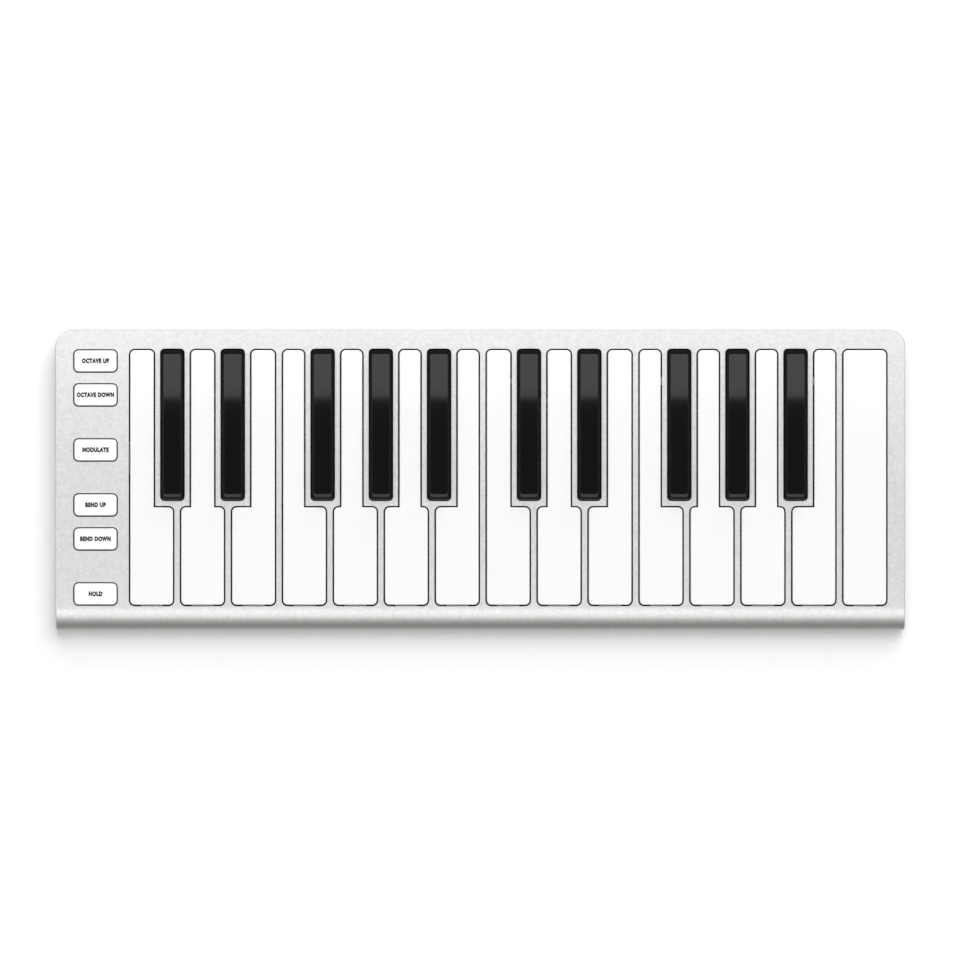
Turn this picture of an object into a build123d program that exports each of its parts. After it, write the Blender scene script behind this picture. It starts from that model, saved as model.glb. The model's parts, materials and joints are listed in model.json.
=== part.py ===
from build123d import *

import os

# A slim 25-key MIDI keyboard. X runs along the keys from bass to treble, Y runs from the
# player's edge to the rear, Z is up. The origin is on the surface that the keyboard stands
# on, under the middle of the case. All sizes are millimetres.

# Case
CASE_LENGTH = 387.0
CASE_DEPTH = 136.5
DECK_TOP = 12.0
SHELL_BOTTOM = 1.8
WALL = 1.5
REAR_CORNER_RADIUS = 7.3
DECK_EDGE_ROUND = 0.45
OPENING_CHAMFER = 0.2
CASE_FRONT = -CASE_DEPTH / 2
CASE_REAR = CASE_DEPTH / 2
DECK_UNDER = DECK_TOP - WALL
ROLL_RADIUS = DECK_TOP - SHELL_BOTTOM
ROLL_CENTRE_Y = CASE_FRONT + ROLL_RADIUS

# Bottom cover, rubber feet, steel chassis and insulator: the stack that the case closes on
COVER_BOTTOM = 1.2
COVER_LIP_INSET = 0.6
COVER_TOP = 2.7
COVER_EDGE_CHAMFER = 0.35
CASE_FIT = 0.15
RIM_INSET = 1.85
RIM_THICKNESS = 1.0
RIM_HEIGHT = 0.8
FOOT_LENGTH = 24.0
FOOT_WIDTH = 8.0
FOOT_RECESS = 0.8
FOOT_FIT = 0.15
FOOT_X = 164.0
FOOT_Y = 51.0
CHASSIS_INSET = 3.0
CHASSIS_TOP = 3.7
INSULATOR_THICKNESS = 0.2
INSULATOR_MARGIN = 0.4
BOARD_BOTTOM = CHASSIS_TOP + INSULATOR_THICKNESS
BOARD_THICKNESS = 1.2
BOARD_TOP = BOARD_BOTTOM + BOARD_THICKNESS

# White keys
WHITE_COUNT = 15
WHITE_PITCH = 23.22
FIRST_WHITE_X = -149.91
WHITE_WIDTH = 19.42
WHITE_FRONT = -56.98
WHITE_REAR = 59.04
WHITE_CORNER = 2.0
WHITE_TOP = 12.8
WHITE_SKIN = 1.6
WHITE_SKIRT = 1.2
WHITE_EDGE_ROUND = 0.35
WHITE_GAP = 0.7
WHITE_RIB_YS = (-36.0, -20.0)
WHITE_NECK_RIB_YS = (14.0, 34.0)
WHITE_LIP_REACH = 2.2
WHITE_LIP_HALF = 5.0

# Black keys: each stands behind the boundary after one white key, offset from it sideways
BLACK_OFFSETS = {0: -2.15, 1: 2.15, 3: -3.3, 4: 0.0, 5: 3.3, 7: -2.15, 8: 2.15, 10: -3.3, 11: 0.0, 12: 3.3}
BLACK_WIDTH = 10.1
BLACK_FRONT = -9.18
BLACK_REAR = 59.24
BLACK_CORNER = 1.4
BLACK_TOP = 16.0
BLACK_SKIN = 2.0
BLACK_SKIRT = 1.3
BLACK_BEVEL = 1.1
BLACK_GAP = 0.4
BLACK_RIB_YS = (20.0, 36.0)
BLACK_LIP_REACH = 2.0
BLACK_LIP_HALF = 3.5

# The notches in the white keys that leave room for the black keys
NOTCH_HALF_WIDTH = 8.55
NOTCH_FRONT = -12.63

# Hinge at the rear: one long rod through a barrel on every key and a moulded comb
HINGE_Y = 63.0
HINGE_Z = 8.0
ROD_RADIUS = 1.0
ROD_OVERHANG = 1.0
BARREL_BORE = 1.05
COMB_BORE = 1.1
BARREL_RADIUS = 2.2
BARREL_LENGTH = 7.0
TONGUE_BOTTOM = 7.0
TONGUE_TOP = 9.0
COMB_FRONT = 60.0
COMB_REAR = 66.2
COMB_BASE_FRONT = 56.0
COMB_BASE_TOP = 5.0
COMB_TOP = 10.3
COMB_WEB = 0.6
COMB_DIVIDER = 2.0
COMB_OVERHANG = 6.9

# What works under the keys
SKIRT_BOTTOM = 8.4
CONTACT_GAP = 0.05
DOME_TOP = 8.6
DOME_BASE_RADIUS = 3.2
DOME_TOP_RADIUS = 1.9
DOME_WALL = 0.6
DOME_SHEET = 0.5
DOME_SHOULDER = 8.1
DOME_STRIP_DEPTH = 8.0
WHITE_DOME_Y = -28.0
BLACK_DOME_Y = 8.0
ACTUATOR_RADIUS = 2.5
GUIDE_WIDTH = 3.0
GUIDE_SLIP = 0.15
GUIDE_RIB = 1.2
WHITE_GUIDE_Y = -44.0
BLACK_GUIDE_Y = -2.0
GUIDE_RIB_DEPTH = 6.0
WHITE_GUIDE_RIB_BOTTOM = 7.4
BLACK_GUIDE_RIB_BOTTOM = 8.3
WHITE_GUIDE_BASE_TOP = 4.5
WHITE_GUIDE_POST = 4.0
BLACK_GUIDE_BASE_TOP = 5.9
BLACK_GUIDE_POST = 3.0
BLACK_GUIDE_POST_TOP = 11.0
GUIDE_BASE_DEPTH = 5.0
GUIDE_BASE_OVERHANG = 6.0
STRIP_OVERHANG = 8.0
ROOT = 1.0
RIB_THICKNESS = 0.8
RIB_LIFT = 1.2
NECK_RIB_HALF = 4.2
LIP_THICKNESS = 1.2
LIP_TOP = SKIRT_BOTTOM + LIP_THICKNESS
FRONT_FELT = (-54.0, -50.0)
FRONT_FELT_TOP = 5.3
UP_STOP_FELT = (-58.9, -57.75)
UP_STOP_FELT_TOP = 10.4
BLACK_FELT = (-8.6, -6.0)
BLACK_FELT_TOP = 5.9
BLACK_PAD_Y = -10.85
BLACK_PAD_LENGTH = 8.0
BLACK_PAD_WIDTH = 1.9

# Function buttons in a column at the left: name and position along Y
BUTTON_X = -175.5
BUTTON_ROWS = {
    "octave_up_button": 54.12,
    "octave_down_button": 38.62,
    "modulation_button": 13.55,
    "bend_up_button": -11.52,
    "bend_down_button": -27.02,
    "sustain_button": -52.09,
}
BUTTON_LENGTH = 19.7
BUTTON_WIDTH = 10.1
BUTTON_CORNER = 2.05
BUTTON_TOP = 12.5
BUTTON_SKIN = 1.2
BUTTON_WALL = 1.2
BUTTON_EDGE_ROUND = 0.4
BUTTON_GAP = 0.45
BUTTON_FLANGE = 1.0
BUTTON_FLANGE_BOTTOM = 9.3
BUTTON_FLANGE_TOP = 10.3
BUTTON_PLUNGER_RADIUS = 2.2
BUTTON_DOME_TOP = 8.25
BUTTON_SHEET_WIDTH = 14.0
BUTTON_SHEET_OVERHANG = 4.0

# Circuit boards
KEY_BOARD_LEFT = -161.0
KEY_BOARD_RIGHT = 185.5
KEY_BOARD_FRONT = -37.0
KEY_BOARD_REAR = 48.0
BUTTON_BOARD_LEFT = -190.0
BUTTON_BOARD_RIGHT = -164.0
BUTTON_BOARD_FRONT = -58.0
BUTTON_BOARD_REAR = 57.0
USB_TAB_WIDTH = 14.0
USB_TAB_REAR = 65.0
BOARD_CORNER = 1.0
CHIP_LEAD_THICKNESS = 0.35
CHIP_LEAD_REACH = 0.4
CHIP_LIFT = 0.1
CHIP_HEIGHT = 1.05
CHIP_ROW_Y = 34.0
CONTROLLER_X = -120.0
DRIVER_XS = (-60.0, 20.0, 100.0)
DIODE_Y = 18.0
CAPACITOR_OFFSET = 9.0
CAPACITOR_LENGTH = 2.1
CAPACITOR_WIDTH = 1.3
CAPACITOR_HEIGHT = 0.9

# Flat ribbon cable between the boards
RIBBON_Y = 10.0
RIBBON_WIDTH = 12.0
RIBBON_BOTTOM = BOARD_TOP + 0.6
RIBBON_THICKNESS = 0.2
RIBBON_RISE = 0.3
CONNECTOR_DEPTH = 3.2
CONNECTOR_HEIGHT = 1.5
CONNECTOR_SETBACK = 2.0

# USB socket in the rear wall, above the rear end of the button board
USB_X = -177.0
USB_WIDTH = 7.9
USB_HEIGHT = 2.9
USB_CORNER = 0.7
USB_SHEET = 0.3
USB_FRONT = 61.8
USB_MOUTH = 67.6
USB_CLEARANCE = 0.4
USB_EAR_WIDTH = 1.4
USB_BLOCK_HALF = 3.5
USB_BLOCK_DEPTH = 1.6
USB_TONGUE_HALF = 1.9
USB_TONGUE_REAR = 67.0
USB_CENTRE_Z = BOARD_TOP + USB_HEIGHT / 2

# Screws
BOSS_RADIUS = 2.5
BOSS_HOLE = 1.0
BOSS_HOLE_TOP = 8.5
BOSS_CLEARANCE = 0.6
SCREW_RADIUS = 0.95
CASE_SCREW_HEAD = 1.85
CASE_SCREW_BOTTOM = 1.3
CASE_SCREW_TIP = 8.3
PAN_HEAD_RADIUS = 1.9
PAN_HEAD_HEIGHT = 1.2
SCREW_CLEARANCE = 1.3
TAPPED_HOLE = 1.0
CROSS_LENGTH = 1.9
CROSS_WIDTH = 0.4
CROSS_DEPTH = 0.55
SCREW_END_GAP = 0.05
SIDE_BOSS_X = 188.8
REAR_BOSS_Y = 61.0
FRONT_BOSS_Y = -62.5
BUTTON_BOSS_YS = (26.08, -39.56)
COMB_SCREW_Y = 58.2

# A block, cylinder or cone placed by the middle of its base
SEATED = (Align.CENTER, Align.CENTER, Align.MIN)


def white_x(index):
    """Centre of a white key along X."""
    return FIRST_WHITE_X + index * WHITE_PITCH


def black_x(index):
    """Centre of the black key that follows white key `index`."""
    return white_x(index) + WHITE_PITCH / 2 + BLACK_OFFSETS[index]


WHITE_XS = [white_x(index) for index in range(WHITE_COUNT)]
BLACK_XS = [black_x(index) for index in BLACK_OFFSETS]


def notch_centres(index):
    """Centres of the black keys that cut into white key `index`."""
    return [black_x(i) for i in (index - 1, index) if i in BLACK_OFFSETS]


def tongue_x(index):
    """Middle of a white key's rear end, between the notches."""
    left = white_x(index) - WHITE_WIDTH / 2
    right = white_x(index) + WHITE_WIDTH / 2
    for centre in notch_centres(index):
        if centre < white_x(index):
            left = centre + NOTCH_HALF_WIDTH
        else:
            right = centre - NOTCH_HALF_WIDTH
    return (left + right) / 2


TONGUE_XS = sorted([tongue_x(index) for index in range(WHITE_COUNT)] + BLACK_XS)

# Case screws: four corners, the right edge, between the buttons and between the front keys
CASE_SCREWS = [
    (-SIDE_BOSS_X, REAR_BOSS_Y),
    (SIDE_BOSS_X, REAR_BOSS_Y),
    (SIDE_BOSS_X, 0.0),
    (-SIDE_BOSS_X, FRONT_BOSS_Y),
    (SIDE_BOSS_X, FRONT_BOSS_Y),
    (BUTTON_X, BUTTON_BOSS_YS[0]),
    (BUTTON_X, BUTTON_BOSS_YS[1]),
    (white_x(1.5), FRONT_BOSS_Y),
    (white_x(6.5), FRONT_BOSS_Y),
    (white_x(11.5), FRONT_BOSS_Y),
]
KEY_BOARD_SCREWS = [(white_x(index), y) for index in (1, 4, 7, 10, 13) for y in (-34.3, 45.0)]
BUTTON_BOARD_SCREWS = [(x, y) for x in (-187.2, -166.3) for y in (-45.0, 46.4)]
COMB_SCREWS = [(tongue_x(index), COMB_SCREW_Y) for index in (0, 3, 7, 11, 14)]


def case_form(inset):
    """The case's outer form, drawn in by `inset` at the deck, the roll, the ends and the rear."""
    with BuildPart() as form:
        with BuildSketch(Plane.YZ.offset(inset - CASE_LENGTH / 2)):
            with BuildLine():
                Polyline(
                    (CASE_FRONT + inset, SHELL_BOTTOM),
                    (CASE_REAR - inset, SHELL_BOTTOM),
                    (CASE_REAR - inset, DECK_TOP - inset),
                    (ROLL_CENTRE_Y, DECK_TOP - inset),
                )
                CenterArc((ROLL_CENTRE_Y, SHELL_BOTTOM), ROLL_RADIUS - inset, 90, 90)
            make_face()
        extrude(amount=CASE_LENGTH - 2 * inset)
        rear_corners = form.edges().filter_by(Axis.Z).group_by(Axis.Y)[-1]
        fillet(rear_corners, REAR_CORNER_RADIUS - inset)
    return form.part


def plan_outline(inset):
    """The case's outline from above, drawn in by `inset`, with its two rounded rear corners."""
    with BuildSketch() as plan:
        Rectangle(CASE_LENGTH - 2 * inset, CASE_DEPTH - 2 * inset)
        fillet(plan.vertices().group_by(Axis.Y)[-1], REAR_CORNER_RADIUS - inset)
    return plan.sketch


def white_outline(index, grow):
    """Outline of a white key, grown by `grow`: outer corners rounded, notch corners sharp."""
    half_width = WHITE_WIDTH / 2 + grow
    length = WHITE_REAR - WHITE_FRONT + 2 * grow
    notch_y = NOTCH_FRONT + grow
    with BuildSketch() as outline:
        with Locations((white_x(index), (WHITE_FRONT + WHITE_REAR) / 2)):
            Rectangle(2 * half_width, length)
        for centre in notch_centres(index):
            with Locations((centre, notch_y)):
                Rectangle(
                    2 * (NOTCH_HALF_WIDTH - grow),
                    length,
                    align=(Align.CENTER, Align.MIN),
                    mode=Mode.SUBTRACT,
                )
        outer_corners = outline.vertices().filter_by(
            lambda v: abs(v.Y - notch_y) > 0.01 or abs(abs(v.X - white_x(index)) - half_width) < 0.01
        )
        fillet(outer_corners, WHITE_CORNER + grow)
    return outline.sketch


def black_outline(centre_x, grow):
    """Outline of a black key, grown by `grow`."""
    with BuildSketch() as outline:
        with Locations((centre_x, (BLACK_FRONT + BLACK_REAR) / 2)):
            length = BLACK_REAR - BLACK_FRONT + 2 * grow
            corner = max(BLACK_CORNER + grow, 0.3)
            RectangleRounded(BLACK_WIDTH + 2 * grow, length, corner)
    return outline.sketch


def button_outline(row_y, grow):
    """Outline of a button cap, grown by `grow`."""
    with BuildSketch() as outline:
        with Locations((BUTTON_X, row_y)):
            RectangleRounded(BUTTON_LENGTH + 2 * grow, BUTTON_WIDTH + 2 * grow, BUTTON_CORNER + grow)
    return outline.sketch


def bar(left, right, front, rear, bottom, top):
    """A straight block between six faces, added to the part being built."""
    with Locations(((left + right) / 2, (front + rear) / 2, bottom)):
        Box(right - left, rear - front, top - bottom, align=SEATED)


def bar_part(left, right, front, rear, bottom, top, corner):
    """A strip on its own, with rounded corners."""
    with BuildPart() as strip:
        with BuildSketch(Plane.XY.offset(bottom)):
            with Locations(((left + right) / 2, (front + rear) / 2)):
                RectangleRounded(right - left, rear - front, corner)
        extrude(amount=top - bottom)
    return strip.part


def hinge_barrel(centre_x, front):
    """The rear tongue and bored barrel of a key, added to the key being built."""
    half_length = BARREL_LENGTH / 2
    bar(centre_x - half_length, centre_x + half_length, front, HINGE_Y, TONGUE_BOTTOM, TONGUE_TOP)
    with Locations((centre_x, HINGE_Y, HINGE_Z)):
        Cylinder(BARREL_RADIUS, BARREL_LENGTH, rotation=(0, 90, 0))
        Cylinder(BARREL_BORE, BARREL_LENGTH, rotation=(0, 90, 0), mode=Mode.SUBTRACT)


def actuator(centre_x, centre_y, bottom, top):
    """The round post that presses a rubber dome, added to the key being built."""
    with Locations((centre_x, centre_y, bottom)):
        Cylinder(ACTUATOR_RADIUS, top - bottom, align=SEATED)


def cross_rib(centre_x, half_width, rib_y, top):
    """A stiffening rib across the inside of a key."""
    half_depth = RIB_THICKNESS / 2
    low = SKIRT_BOTTOM + RIB_LIFT
    bar(centre_x - half_width, centre_x + half_width, rib_y - half_depth, rib_y + half_depth, low, top)


def guide_ribs(centre_x, centre_y, bottom, top):
    """Two ribs that straddle a guide post and keep the key straight."""
    inner = GUIDE_WIDTH / 2 + GUIDE_SLIP
    half_depth = GUIDE_RIB_DEPTH / 2
    for side in (-1, 1):
        edges = sorted([centre_x + side * inner, centre_x + side * (inner + GUIDE_RIB)])
        bar(edges[0], edges[1], centre_y - half_depth, centre_y + half_depth, bottom, top)


def stop_lip(centre_x, half_width, key_front, reach):
    """The lip at a key's front that meets the stop under the deck when the key comes up."""
    left = centre_x - half_width
    right = centre_x + half_width
    bar(left, right, key_front - reach, key_front + ROOT, SKIRT_BOTTOM, LIP_TOP)


def white_key(index):
    """One white key: a thin top with skirts, stiffening ribs, guide ribs, stop lip and hinge."""
    centre = white_x(index)
    neck = tongue_x(index)
    skin_bottom = WHITE_TOP - WHITE_SKIN
    rib_half = (WHITE_WIDTH - WHITE_SKIRT) / 2
    with BuildPart() as key:
        with BuildSketch(Plane.XY.offset(SKIRT_BOTTOM)):
            add(white_outline(index, 0))
        extrude(amount=WHITE_TOP - SKIRT_BOTTOM)
        fillet(key.faces().sort_by(Axis.Z)[-1].edges(), WHITE_EDGE_ROUND)
        with BuildSketch(Plane.XY.offset(SKIRT_BOTTOM)):
            add(white_outline(index, -WHITE_SKIRT))
        extrude(amount=skin_bottom - SKIRT_BOTTOM, mode=Mode.SUBTRACT)
        for rib_y in WHITE_RIB_YS:
            cross_rib(centre, rib_half, rib_y, skin_bottom)
        for rib_y in WHITE_NECK_RIB_YS:
            cross_rib(neck, NECK_RIB_HALF, rib_y, skin_bottom)
        actuator(centre, WHITE_DOME_Y, DOME_TOP + CONTACT_GAP, skin_bottom)
        guide_ribs(centre, WHITE_GUIDE_Y, WHITE_GUIDE_RIB_BOTTOM, skin_bottom)
        stop_lip(centre, WHITE_LIP_HALF, WHITE_FRONT, WHITE_LIP_REACH)
        hinge_barrel(neck, WHITE_REAR - ROOT)
    return key.part


def black_key(index):
    """One black key: a tall bevelled top with skirts, guide ribs, stop lip and hinge."""
    centre = black_x(index)
    skin_bottom = BLACK_TOP - BLACK_SKIN
    with BuildPart() as key:
        with BuildSketch(Plane.XY.offset(SKIRT_BOTTOM)):
            add(black_outline(centre, 0))
        extrude(amount=BLACK_TOP - SKIRT_BOTTOM)
        chamfer(key.faces().sort_by(Axis.Z)[-1].edges(), BLACK_BEVEL)
        with BuildSketch(Plane.XY.offset(SKIRT_BOTTOM)):
            add(black_outline(centre, -BLACK_SKIRT))
        extrude(amount=skin_bottom - SKIRT_BOTTOM, mode=Mode.SUBTRACT)
        for rib_y in BLACK_RIB_YS:
            cross_rib(centre, (BLACK_WIDTH - BLACK_SKIRT) / 2, rib_y, skin_bottom)
        actuator(centre, BLACK_DOME_Y, DOME_TOP + CONTACT_GAP, skin_bottom)
        guide_ribs(centre, BLACK_GUIDE_Y, BLACK_GUIDE_RIB_BOTTOM, skin_bottom)
        stop_lip(centre, BLACK_LIP_HALF, BLACK_FRONT, BLACK_LIP_REACH)
        hinge_barrel(centre, BLACK_REAR - ROOT)
    return key.part


def button_cap(row_y):
    """One function button: a hollow cap with a retaining flange and a plunger."""
    with BuildPart() as cap:
        with BuildSketch(Plane.XY.offset(BUTTON_FLANGE_BOTTOM)):
            add(button_outline(row_y, 0))
        extrude(amount=BUTTON_TOP - BUTTON_FLANGE_BOTTOM)
        fillet(cap.faces().sort_by(Axis.Z)[-1].edges(), BUTTON_EDGE_ROUND)
        with BuildSketch(Plane.XY.offset(BUTTON_FLANGE_BOTTOM)):
            add(button_outline(row_y, BUTTON_FLANGE))
        extrude(amount=BUTTON_FLANGE_TOP - BUTTON_FLANGE_BOTTOM)
        with BuildSketch(Plane.XY.offset(BUTTON_FLANGE_BOTTOM)):
            add(button_outline(row_y, -BUTTON_WALL))
        extrude(amount=BUTTON_TOP - BUTTON_SKIN - BUTTON_FLANGE_BOTTOM, mode=Mode.SUBTRACT)
        with BuildSketch(Plane.XY.offset(BUTTON_DOME_TOP + CONTACT_GAP)):
            with Locations((BUTTON_X, row_y)):
                Circle(BUTTON_PLUNGER_RADIUS)
        extrude(amount=BUTTON_TOP - BUTTON_SKIN - BUTTON_DOME_TOP - CONTACT_GAP)
    return cap.part


def dome_sheet(outline, centres, dome_top):
    """A silicone sheet on a circuit board with a hollow collapsing dome at each centre."""
    shoulder = dome_top - DOME_TOP + DOME_SHOULDER
    sheet_top = BOARD_TOP + DOME_SHEET
    with BuildPart() as sheet:
        with BuildSketch(Plane.XY.offset(BOARD_TOP)):
            add(outline)
        extrude(amount=DOME_SHEET)
        with Locations(*[(x, y, sheet_top) for x, y in centres]):
            Cone(DOME_BASE_RADIUS, DOME_TOP_RADIUS, shoulder - sheet_top, align=SEATED)
        with Locations(*[(x, y, shoulder) for x, y in centres]):
            Cylinder(DOME_TOP_RADIUS, dome_top - shoulder, align=SEATED)
        with Locations(*[(x, y, BOARD_TOP) for x, y in centres]):
            Cone(
                DOME_BASE_RADIUS - DOME_WALL,
                DOME_TOP_RADIUS - DOME_WALL,
                shoulder - BOARD_TOP - DOME_WALL,
                align=SEATED,
                mode=Mode.SUBTRACT,
            )
    return sheet.part


def guide_rail(centres, rail_y, base_bottom, base_top, post_depth, post_top):
    """A moulded bar with one upright guide post for each key."""
    with BuildPart() as rail:
        with BuildSketch(Plane.XY.offset(base_bottom)):
            with Locations(((min(centres) + max(centres)) / 2, rail_y)):
                length = max(centres) - min(centres) + 2 * GUIDE_BASE_OVERHANG
                RectangleRounded(length, GUIDE_BASE_DEPTH, 1.0)
        extrude(amount=base_top - base_bottom)
        with BuildSketch(Plane.XY.offset(base_top)):
            with Locations(*[(x, rail_y) for x in centres]):
                RectangleRounded(GUIDE_WIDTH, post_depth, 0.4)
        extrude(amount=post_top - base_top)
    return rail.part


def strip_outline(centres, strip_y):
    """Outline of a dome strip that lies under a row of keys."""
    with BuildSketch() as outline:
        with Locations(((min(centres) + max(centres)) / 2, strip_y)):
            length = max(centres) - min(centres) + 2 * STRIP_OVERHANG
            RectangleRounded(length, DOME_STRIP_DEPTH, 1.5)
    return outline.sketch


def chip(length, width, lead_count):
    """A surface-mount chip at the origin of its own frame: moulded body and leads on two sides."""
    lead_pitch = (length - 0.8) / lead_count
    with BuildPart() as package:
        with BuildSketch(Plane.XY.offset(CHIP_LIFT)):
            Rectangle(length, width)
        extrude(amount=CHIP_HEIGHT)
        chamfer(package.faces().sort_by(Axis.Z)[-1].edges(), 0.15)
        with BuildSketch():
            with GridLocations(lead_pitch, width + 2 * CHIP_LEAD_REACH, lead_count, 2):
                Rectangle(0.4 * lead_pitch, 3 * CHIP_LEAD_REACH)
        extrude(amount=CHIP_LEAD_THICKNESS)
    return package.part


def screw(head_radius, head_height, countersunk, length):
    """A cross-head screw with its head on the plane Z = 0, pointing down from there."""
    with BuildPart() as fastener:
        with BuildSketch(Plane.XZ):
            with BuildLine():
                if countersunk:
                    head = [(head_radius, 0.0), (SCREW_RADIUS, SCREW_RADIUS - head_radius)]
                else:
                    head = [(head_radius - 0.35, head_height), (head_radius, 0.6 * head_height)]
                    head += [(head_radius, 0.0), (SCREW_RADIUS, 0.0)]
                tip = [(SCREW_RADIUS, 0.4 - length), (0.5, -length), (0.0, -length)]
                Polyline((0.0, head[0][1]), *head, *tip, close=True)
            make_face()
        revolve(axis=Axis.Z)
        with BuildSketch(Plane.XY.offset(head_height)):
            Rectangle(CROSS_LENGTH, CROSS_WIDTH)
            Rectangle(CROSS_WIDTH, CROSS_LENGTH)
        extrude(amount=-CROSS_DEPTH, mode=Mode.SUBTRACT)
    return fastener.part


def key_board_outline(grow):
    """Outline of the long board under the keys."""
    with BuildSketch() as outline:
        with Locations(((KEY_BOARD_LEFT + KEY_BOARD_RIGHT) / 2, (KEY_BOARD_FRONT + KEY_BOARD_REAR) / 2)):
            length = KEY_BOARD_RIGHT - KEY_BOARD_LEFT + 2 * grow
            RectangleRounded(length, KEY_BOARD_REAR - KEY_BOARD_FRONT + 2 * grow, BOARD_CORNER)
    return outline.sketch


def button_board_outline(grow):
    """Outline of the board under the buttons, with its tab for the USB socket."""
    middle_x = (BUTTON_BOARD_LEFT + BUTTON_BOARD_RIGHT) / 2
    middle_y = (BUTTON_BOARD_FRONT + BUTTON_BOARD_REAR) / 2
    with BuildSketch() as outline:
        with Locations((middle_x, middle_y)):
            width = BUTTON_BOARD_RIGHT - BUTTON_BOARD_LEFT + 2 * grow
            RectangleRounded(width, BUTTON_BOARD_REAR - BUTTON_BOARD_FRONT + 2 * grow, BOARD_CORNER)
        with Locations((USB_X, (middle_y + USB_TAB_REAR) / 2)):
            Rectangle(USB_TAB_WIDTH + 2 * grow, USB_TAB_REAR - middle_y)
        with Locations(*[(BUTTON_X, y) for y in BUTTON_BOSS_YS]):
            Circle(BOSS_RADIUS + BOSS_CLEARANCE, mode=Mode.SUBTRACT)
    return outline.sketch


def copies(piece, places):
    """The same piece at several places, as separate solids of one group."""
    with BuildPart() as group:
        with Locations(*places):
            add(piece)
    return group.part


def save(part, name):
    """Label a finished piece and write its STEP file."""
    part.label = name
    export_step(part, f"parts/{name}.step")


os.makedirs("parts", exist_ok=True)

# Top shell: one thin shell with a rolled front edge, screw bosses and all the openings
with BuildPart() as screw_bosses:
    with BuildSketch(Plane.XY.offset(CHASSIS_TOP)):
        with Locations(*CASE_SCREWS):
            Circle(BOSS_RADIUS)
    extrude(amount=DECK_TOP - CHASSIS_TOP)
    add(case_form(WALL / 2), mode=Mode.INTERSECT)

with BuildPart() as top_shell:
    add(case_form(0))
    flat_edges = top_shell.edges().filter_by(Axis.Z) + top_shell.edges().group_by(Axis.Z)[0]
    seam = top_shell.edges().filter_by_position(Axis.Y, ROLL_CENTRE_Y - 0.01, ROLL_CENTRE_Y + 0.01)
    fillet(top_shell.edges() - flat_edges - seam, DECK_EDGE_ROUND)
    add(case_form(WALL), mode=Mode.SUBTRACT)
    add(screw_bosses.part)
    with BuildSketch(Plane.XY.offset(CHASSIS_TOP)):
        with Locations(*CASE_SCREWS):
            Circle(BOSS_HOLE)
    extrude(amount=BOSS_HOLE_TOP - CHASSIS_TOP, mode=Mode.SUBTRACT)
    with BuildSketch(Plane.XY.offset(DECK_TOP)):
        for index in range(WHITE_COUNT):
            add(white_outline(index, WHITE_GAP))
        for centre in BLACK_XS:
            add(black_outline(centre, BLACK_GAP))
        for row_y in BUTTON_ROWS.values():
            add(button_outline(row_y, BUTTON_GAP))
    extrude(amount=-WALL, mode=Mode.SUBTRACT)
    deck_edges = top_shell.edges().filter_by_position(Axis.Z, DECK_TOP - 0.01, DECK_TOP + 0.01)
    opening_edges = deck_edges.filter_by_position(Axis.Y, ROLL_CENTRE_Y + 0.1, 62.0)
    opening_edges = opening_edges.filter_by_position(Axis.X, -190.0, 190.0)
    chamfer(opening_edges, OPENING_CHAMFER)
    with BuildSketch(Plane.XZ.offset(-CASE_REAR)):
        with Locations((USB_X, USB_CENTRE_Z)):
            mouth_width = USB_WIDTH + 2 * USB_CLEARANCE
            mouth_height = USB_HEIGHT + 2 * USB_CLEARANCE
            RectangleRounded(mouth_width, mouth_height, USB_CORNER + USB_CLEARANCE)
    extrude(amount=WALL, mode=Mode.SUBTRACT)
save(top_shell.part, "top_shell")

# Bottom cover: a plate with a lip under the shell's edge, a locating rim, foot recesses and
# countersunk screw holes
foot_places = [(x, y) for x in (-FOOT_X, 0.0, FOOT_X) for y in (-FOOT_Y, FOOT_Y)]
with BuildPart() as bottom_cover:
    with BuildSketch(Plane.XY.offset(COVER_BOTTOM)):
        add(plan_outline(COVER_LIP_INSET))
    extrude(amount=SHELL_BOTTOM - COVER_BOTTOM)
    chamfer(bottom_cover.faces().sort_by(Axis.Z)[0].edges(), COVER_EDGE_CHAMFER)
    with BuildSketch(Plane.XY.offset(SHELL_BOTTOM)):
        add(plan_outline(WALL + CASE_FIT))
    extrude(amount=COVER_TOP - SHELL_BOTTOM)
    with BuildSketch(Plane.XY.offset(COVER_TOP)):
        add(plan_outline(RIM_INSET))
        add(plan_outline(RIM_INSET + RIM_THICKNESS), mode=Mode.SUBTRACT)
    extrude(amount=RIM_HEIGHT)
    with BuildSketch(Plane.XY.offset(COVER_BOTTOM)):
        with Locations(*foot_places):
            SlotOverall(FOOT_LENGTH + 2 * FOOT_FIT, FOOT_WIDTH + 2 * FOOT_FIT)
    extrude(amount=FOOT_RECESS, mode=Mode.SUBTRACT)
    with Locations(*[Plane((x, y, COVER_BOTTOM), z_dir=(0, 0, -1)) for x, y in CASE_SCREWS]):
        CounterSinkHole(TAPPED_HOLE + 0.1, CASE_SCREW_HEAD + 0.15, counter_sink_angle=90)
save(bottom_cover.part, "bottom_cover")

# Rubber feet, glued in the recesses of the cover
with BuildPart() as rubber_feet:
    with BuildSketch():
        with Locations(*foot_places):
            SlotOverall(FOOT_LENGTH, FOOT_WIDTH)
    extrude(amount=COVER_BOTTOM + FOOT_RECESS)
    chamfer(rubber_feet.edges().group_by(Axis.Z)[0], 0.4)
save(rubber_feet.part, "rubber_feet")

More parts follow.
